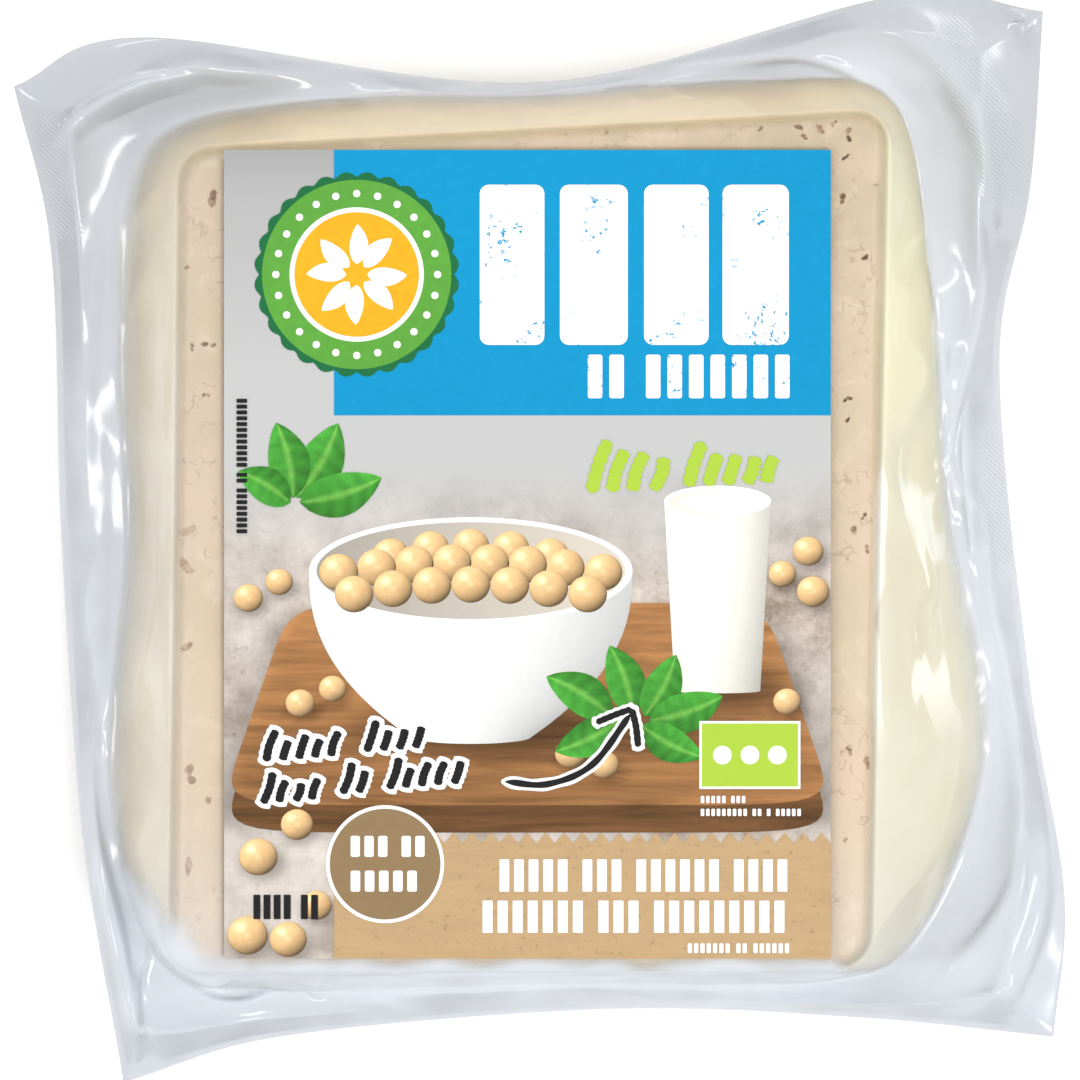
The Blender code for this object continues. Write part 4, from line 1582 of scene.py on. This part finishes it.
def bean_patch(u, v, radius):
    """A round bean, lit from the upper left."""
    rings, tones = [], [np.array(BEAN_MIDDLE)]
    turn = np.linspace(0, 2 * math.pi, 26, endpoint=False)
    cos, sin = np.cos(turn), np.sin(turn)
    for share in (0.25, 0.45, 0.62, 0.78, 0.9, 1.0):
        rings.append(np.column_stack([u + radius * share * cos, v + radius * 0.95 * share * sin]))
        height = math.sqrt(max(0.0, 1 - share ** 2))
        lit = 0.45 * height + 0.55 * (-0.55 * share * cos + 0.75 * share * sin) + 0.42
        lit = np.clip(lit, 0.12, 1.15)[:, None]
        shine = np.clip(1 - np.hypot(share * cos + 0.35, share * sin - 0.42) / 0.35, 0, 1)
        tones += list(np.array(BEAN_COLOUR) * lit + np.array(BEAN_SHINE) * shine[:, None])
    points, faces = fan_of_rings(rings)
    return points, faces, np.array(tones)


class TOFU_OT_label_sheet(Operator):
    """Makes the label's sheet with its grey ground, the blue field and the brown paper band"""

    bl_idname = "tofu_pack.label_sheet"
    bl_label = "Label sheet and fields"

    def execute(self, context):
        settings = context.scene.label_settings
        self.make_sheet(settings)
        blue = ink_finish("blue_ink", settings.blue, shift=0.07)
        ink_bars("label_blue_field", [(44.3, 83.6, 61.4, 32.8)], 2, SHARP_CORNER, blue)
        self.make_band(settings)
        return {"FINISHED"}

    @staticmethod
    def make_sheet(settings):
        """The sheet, with the picture's soft shade on its points."""
        middle = (LABEL_SIZE[0] / 2, LABEL_SIZE[1] / 2)
        sheet = printed_grid("label_sheet", (150, 200), LABEL_SIZE, middle, 0)
        places = (point_array(sheet) - label_low())[:, :2] / MM
        shade = foot_shadow(places)
        board = board_share(places + [0, BOARD_THICKNESS * 0.6])
        shade *= 1 - 0.55 * (1 - smoothstep(0.92, 1.22, board))
        shade *= 1 - 0.10 * smoothstep(94, 100, places[:, 1])
        set_values(sheet, "shade", shade)
        thicken(sheet, SHEET_THICKNESS)
        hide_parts("front_label")
        finish_piece(sheet, TOFU_OT_label_sheet.ground_finish(settings))

    @staticmethod
    def ground_finish(settings):
        """A plain grey wall that runs down into a worn, mottled table."""
        finish = Finish("printed_ground")
        foot = float(label_low()[1])
        up = finish.along("Y")
        height = finish.fit(up, foot + 72 * MM, foot + 100 * MM)
        grey = finish.mix(height, tuple(settings.wall), scaled(settings.wall, 0.78))
        mottle = finish.fit(finish.noise(150.0, detail=5.0, roughness=0.72), 0.35, 0.68)
        table = finish.mix(mottle, TABLE_DARK, TABLE_PALE)
        fleck = finish.fit(finish.noise(700.0, detail=4.0, roughness=0.8), 0.58, 0.7, 0.0, 0.6)
        table = finish.mix(fleck, table, TABLE_FLECK)
        drift = finish.noise(45.0, detail=2.0)
        table = finish.mix(finish.fit(drift, 0.4, 0.65, 0.0, 0.5), table, TABLE_WORN)
        colour = finish.mix(finish.fit(up, foot + 61 * MM, foot + 46 * MM), grey, table)
        return finish.principled(
            Base_Color=finish.shaded(colour, "shade"), Roughness=LABEL_ROUGHNESS,
            Specular_IOR_Level=LABEL_SPECULAR)

    @staticmethod
    def make_band(settings):
        """The brown paper band with its pinked upper edge."""
        teeth, low, high = 54, 14.3, 15.6
        left, right = 13.6, LABEL_SIZE[0]
        middle = ((left + right) / 2, low / 2)
        band = printed_grid("label_kraft_band", (teeth, 3), (right - left, low), middle, 2)
        points = point_array(band)
        top = points[:, 1].max()
        column = np.round((points[:, 0] - points[:, 0].min()) / ((right - left) * MM) * teeth).astype(int)
        points[(points[:, 1] > top - 1e-6) & (column % 2 == 1), 1] += (high - low) * MM
        put_points(band, points)
        give_ink_depth(band, 2)
        finish = Finish("kraft_paper")
        fibre = finish.noise(500.0, detail=5.0, roughness=0.7, stretch=(0.35, 1.6, 1.0))
        speck = finish.fit(finish.noise(1500.0, detail=2.0), 0.62, 0.72, 0.0, 0.5)
        colour = finish.mix(finish.fit(fibre, 0.3, 0.7), tuple(settings.kraft), scaled(settings.kraft, 1.16))
        colour = finish.mix(speck, colour, scaled(settings.kraft, 0.62))
        finish_piece(band, finish.principled(
            Base_Color=colour, Roughness=0.45, Specular_IOR_Level=0.3,
            Normal=finish.bump(fibre, 0.12, 0.03 * MM)))


class TOFU_OT_label_picture(Operator):
    """Makes the printed picture: a wooden tray with a bowl of beans, a glass, leaves and beans"""

    bl_idname = "tofu_pack.label_picture"
    bl_label = "Label picture"

    def execute(self, context):
        settings = context.scene.label_settings
        self.make_board(settings)
        bean = self.painted_finish("picture_bean", 0.08)
        self.make_vessels()
        self.make_heap(bean)
        green = self.painted_finish("picture_leaf", 0.12)
        for number, leaf in enumerate(PICTURE_LEAVES):
            painted_piece(f"picture_leaf_{number + 1}", [leaf_patch(*leaf)], 2.3 + 0.08 * number, green)
        painted_piece("picture_beans", [bean_patch(*place) for place in PICTURE_BEANS], 1.3, bean)
        return {"FINISHED"}

    @staticmethod
    def make_vessels():
        """The white bowl and the glass of soy milk."""
        white = TOFU_OT_label_picture.painted_finish("picture_white", 0.02)
        inside = (BOWL_REACH[0] - 0.9, BOWL_REACH[1] - 0.6)
        milk_middle = (GLASS_MIDDLE[0], GLASS_MIDDLE[1] - 0.2)
        milk_reach = (GLASS_REACH[0] - 0.5, GLASS_REACH[1] - 0.35)
        parts = (
            ("picture_bowl_front", vessel_patch(
                BOWL_MIDDLE, BOWL_REACH, BOWL_DEPTH, lambda t: 1 - 0.62 * t ** 2.4, CHINA), 1.4),
            ("picture_bowl_rim", oval_patch(BOWL_MIDDLE, BOWL_REACH, CHINA, CHINA, -0.06), 1.5),
            ("picture_bowl_inside", oval_patch(BOWL_MIDDLE, inside, BOWL_SHADOW, BOWL_SHADOW, 0.3), 1.6),
            ("picture_glass_front", vessel_patch(
                GLASS_MIDDLE, GLASS_REACH, GLASS_DEPTH, lambda t: 1 - 0.2 * t, SOY_MILK), 1.5),
            ("picture_glass_rim", oval_patch(GLASS_MIDDLE, GLASS_REACH, CHINA, GLASS_RIM), 1.6),
            ("picture_glass_milk", oval_patch(milk_middle, milk_reach, MILK_TOP, MILK_EDGE, 0.1), 1.7),
        )
        for name, patch, level in parts:
            painted_piece(name, [patch], level, white)

    @staticmethod
    def make_heap(material):
        """The beans in the bowl, row by row towards the viewer."""
        for number, (v, spread, count, radius) in enumerate(HEAP_ROWS):
            row = [bean_patch(BOWL_MIDDLE[0] + spread * 1.9 * place, v - 1.2 * place ** 2, radius)
                   for place in np.linspace(-1, 1, count)]
            painted_piece(f"picture_heap_{number + 1}", row, 1.8 + 0.1 * number, material)

    @staticmethod
    def make_board(settings):
        """The tray's dark side and, above it, its top."""
        wood = settings.wood
        for name, level, drop, dim in (("picture_board_edge", 0.5, BOARD_THICKNESS, 0.5),
                                       ("picture_board_top", 1.0, 0.0, 1.0)):
            rings = [board_edge(share, drop) for share in np.linspace(0.05, 1.0, 22)]
            points, faces = fan_of_rings(rings)
            board = ink_faces(name, points, faces, level)
            on_top = drop == 0
            shade = foot_shadow(points) if on_top else np.ones(len(points))
            rim = board_share(points + [0, drop])
            shade *= dim * (1 + 0.18 * smoothstep(0.94, 0.99, rim) * on_top)
            shade *= 0.86 + 0.28 * smoothstep(-20, 20, points[:, 1] - BOARD_MIDDLE[1] + drop)
            set_values(board, "shade", shade)
            give_ink_depth(board, level)
            finish = Finish(f"{name}_wood")
            grain = finish.noise(210.0, detail=6.0, roughness=0.65, stretch=(0.16, 1.5, 1.0), distortion=1.2)
            line = finish.fit(finish.noise(600.0, detail=3.0, stretch=(0.1, 1.3, 1.0)), 0.5, 0.7, 0.0, 0.6)
            colour = finish.mix(finish.fit(grain, 0.3, 0.7), scaled(wood, 0.62), scaled(wood, 1.4))
            colour = finish.mix(line, colour, scaled(wood, 0.45))
            finish_piece(board, finish.principled(
                Base_Color=finish.shaded(colour, "shade"), Roughness=LABEL_ROUGHNESS,
                Specular_IOR_Level=LABEL_SPECULAR))

    @staticmethod
    def painted_finish(name, mottle_depth):
        """Printed colour that each point carries, with a fine mottle."""
        finish = Finish(name)
        mottle = finish.noise(650.0, detail=2.0, roughness=0.65)
        value = finish.fit(mottle, 0.3, 0.7, 1 - mottle_depth, 1 + mottle_depth)
        toned = finish.add("ShaderNodeHueSaturation", Color=finish.attribute("tone", "Color"))
        finish.set(toned, "Value", value)
        return finish.principled(
            Base_Color=toned.outputs["Color"], Roughness=LABEL_ROUGHNESS,
            Specular_IOR_Level=LABEL_SPECULAR)


def word_bars(left, middle, height, pitch, words, turned=False):
    """Upright bars grouped like words, from the left, as middles, widths and heights."""
    bars, place = [], left
    for count in words:
        for _ in range(count):
            bar = (place + pitch * 0.36, middle, pitch * 0.68, height)
            bars.append((middle, bar[0], height, bar[2]) if turned else bar)
            place += pitch
        place += pitch * 0.7
    return bars


def lengthened(anchors, extra):
    """A stroke's points, its first and last moved outwards along it."""
    points = np.array(anchors, float)
    for end, inner in ((0, 1), (-1, -2)):
        out = points[end] - points[inner]
        points[end] += extra * out / np.linalg.norm(out)
    return points


def brush_word(left, low, height, pitch, count, rise, chance):
    """A row of slanting brush strokes that stands for a hand-written word."""
    strokes = []
    for number in range(count):
        x = left + pitch * number
        y = low + rise * number
        tall = height * (1.25 if number == 0 else chance.uniform(0.7, 1.0))
        lean = 0.32 * tall
        bow = chance.uniform(-0.08, 0.08) * height
        strokes.append([(x, y), (x + lean / 2 + bow, y + tall / 2), (x + lean, y + tall)])
    return strokes


SCRIPT_SEED = 8
# The words of the black script: where each starts and how many strokes it has.
SCRIPT_WORDS = ((5.2, 24.4, 5), (17.6, 25.6, 4), (4.8, 19.2, 4), (14.6, 20.4, 2), (20.4, 21.0, 5))


class TOFU_OT_label_print(Operator):
    """Makes the label's printed marks: bars, brush strokes, the seal, the badge and the lime tag"""

    bl_idname = "tofu_pack.label_print"
    bl_label = "Label print"

    def execute(self, context):
        settings = context.scene.label_settings
        white = self.worn_white(settings)
        plain_white = ink_finish("white_ink", settings.white)
        black = ink_finish("black_ink", settings.black)
        lime = ink_finish("lime_ink", settings.lime)
        title = [(35.6, 85.8, 8.0, 19.8), (45.7, 85.8, 8.4, 19.8), (55.9, 85.8, 8.0, 19.8),
                 (65.7, 85.8, 8.2, 19.8)]
        ink_bars("label_title_bars", title, 4, 1.1, white)
        ink_bars("label_subtitle_bars", word_bars(44.9, 72.0, 5.4, 2.66, (2, 7)), 4, 0.3, white)
        lines = word_bars(34.0, 10.3, 4.0, 1.80, (5, 3, 6, 4)) + word_bars(31.9, 5.2, 4.0, 1.86, (7, 3, 9))
        lines += word_bars(57.3, 1.3, 1.2, 0.78, (7, 2, 6))
        lines += word_bars(58.9, 19.7, 0.9, 0.66, (5, 3)) + word_bars(58.9, 18.1, 0.9, 0.66, (9, 2, 1, 5))
        ink_bars("label_white_lines", lines, 4, 0.12, plain_white)
        dark = word_bars(3.6, 6.4, 3.0, 1.25, (4, 2))
        dark += word_bars(52.6, 2.2, 1.3, 0.72, (8, 2, 12), turned=True)
        ink_bars("label_dark_lines", dark, 4, 0.1, black)
        self.make_strokes(plain_white, black, lime)
        self.make_seal(settings, plain_white)
        self.make_badge(settings, plain_white)
        self.make_tag(plain_white, lime)
        return {"FINISHED"}

    @staticmethod
    def worn_white(settings):
        """White ink with small worn specks that show the blue below."""
        finish = Finish("worn_white_ink")
        patchy = finish.fit(finish.noise(170.0, detail=2.0), 0.52, 0.62)
        speck = finish.fit(finish.noise(1700.0, detail=2.0, roughness=0.6), 0.60, 0.64)
        worn = finish.sum("MULTIPLY", patchy, speck)
        colour = finish.mix(worn, tuple(settings.white), tuple(settings.blue))
        return finish.principled(
            Base_Color=colour, Roughness=WORN_ROUGHNESS, Specular_IOR_Level=LABEL_SPECULAR)

    @staticmethod
    def make_strokes(white, black, lime):
        """The lime script, and the black script and arrow with their white outline below them."""
        chance = random.Random(SCRIPT_SEED)
        script = brush_word(45.4, 57.6, 5.2, 2.55, 4, 0.12, chance)
        script += brush_word(57.4, 58.4, 4.4, 2.4, 5, 0.12, chance)
        strokes = [brush_stroke(anchors, 0.92, seed=number) for number, anchors in enumerate(script)]
        ink_strokes("label_lime_script", strokes, 4, lime)
        words = []
        for left, low, count in SCRIPT_WORDS:
            words += brush_word(left, low, 3.1, 2.0, count, 0.16, chance)
        arrow = [[(34.8, 21.9), (40.0, 21.6), (45.5, 24.0), (50.2, 30.2)],
                 [(46.0, 29.2), (48.4, 30.2), (50.4, 30.9)], [(51.2, 26.2), (50.9, 28.8), (50.4, 30.9)]]
        for name, half_width, extra, level, material in (("label_script_outline", 1.12, 0.55, 3.0, white),
                                                         ("label_black_script", 0.56, 0.0, 4, black)):
            strokes = []
            for number, anchors in enumerate([*words, *arrow]):
                wide = half_width * (0.8 if number >= len(words) else 1.0)
                strokes.append(brush_stroke(lengthened(anchors, extra), wide, taper=0.2, seed=number))
            ink_strokes(name, strokes, level, material)

    @staticmethod
    def make_seal(settings, white):
        """A round scalloped seal with a plain rosette."""
        middle = (16.4, 84.6)
        dark = ink_finish("dark_green_ink", settings.dark_green)
        green = ink_finish("green_ink", settings.green, shift=0.12)
        sun = ink_finish("sun_ink", settings.sun, shift=0.12)
        ink_disc("seal_edge", middle, 12.7, 2.6, dark, scallops=28, scallop_depth=0.05)
        ink_disc("seal_field", middle, 11.7, 3.0, green)
        ink_disc("seal_line", middle, 8.3, 3.3, white)
        ink_disc("seal_centre", middle, 7.7, 3.6, sun)
        dots = [(middle[0] + 10.0 * math.cos(turn), middle[1] + 10.0 * math.sin(turn), 0.9, 0.9)
                for turn in np.linspace(0, 2 * math.pi, 24, endpoint=False)]
        ink_bars("seal_dots", dots, 3.6, 0.42, white)
        petals = []
        for turn in np.linspace(0, 2 * math.pi, 8, endpoint=False):
            start = (middle[0] + 1.3 * math.cos(turn), middle[1] + 1.3 * math.sin(turn))
            petals.append(leaf_patch(start, 4.9, 1.15, math.degrees(turn)))
        ink_strokes("seal_rosette", petals, 4, white)

    @staticmethod
    def make_badge(settings, white):
        """A brown disc with a white ring, half on the band."""
        middle = (19.9, 11.7)
        ink_disc("badge_ring", middle, 7.3, 3.4, white)
        ink_disc("badge_disc", middle, 6.85, 3.7, ink_finish("brown_ink", scaled(settings.kraft, 0.62)))
        bars = word_bars(15.6, 13.9, 2.6, 1.7, (3, 2)) + word_bars(15.6, 9.6, 2.6, 1.75, (5,))
        ink_bars("badge_bars", bars, 4, 0.25, white)

    @staticmethod
    def make_tag(white, lime):
        """A small lime field with a white edge and three white dots."""
        middle = (65.0, 25.2)
        ink_bars("tag_edge", [(*middle, 12.5, 8.4)], 3.4, SHARP_CORNER, white)
        ink_bars("tag_field", [(*middle, 11.9, 7.8)], 3.7, SHARP_CORNER, lime)
        dots = [(middle[0] + 3.4 * (number - 1), middle[1], 2.3, 2.3) for number in range(3)]
        ink_bars("tag_dots", dots, 4, 1.1, white)


# ---------------------------------------------------------------------------------------------
# The panel, and the run.

OPERATORS = (
    TOFU_OT_stage, TOFU_OT_block, TOFU_OT_liquid, TOFU_OT_pouch,
    TOFU_OT_label_sheet, TOFU_OT_label_picture, TOFU_OT_label_print,
)


class TOFU_PT_pack(Panel):
    """Lists the pack's operators and settings"""

    bl_label = "Tofu pack"
    bl_idname = "TOFU_PT_pack"
    bl_space_type = "VIEW_3D"
    bl_region_type = "UI"
    bl_category = "Tofu pack"

    def draw(self, context):
        column = self.layout.column()
        for operator in OPERATORS:
            column.operator(operator.bl_idname)
        for name in SETTINGS:
            column.label(text=name.replace("_", " ").capitalize())
            settings = getattr(context.scene, name)
            for field in settings.bl_rna.properties:
                if field.identifier not in ("rna_type", "name"):
                    column.prop(settings, field.identifier)


def register():
    for name, group in SETTINGS.items():
        bpy.utils.register_class(group)
        setattr(bpy.types.Scene, name, PointerProperty(type=group))
    for item in (*OPERATORS, TOFU_PT_pack):
        bpy.utils.register_class(item)


def unregister():
    for item in (TOFU_PT_pack, *reversed(OPERATORS)):
        bpy.utils.unregister_class(item)
    for name, group in reversed(SETTINGS.items()):
        delattr(bpy.types.Scene, name)
        bpy.utils.unregister_class(group)


def main():
    register()
    for operator in OPERATORS:
        group, name = operator.bl_idname.split(".")
        getattr(getattr(bpy.ops, group), name)()
    deselect_all()


if __name__ == "__main__":
    main()
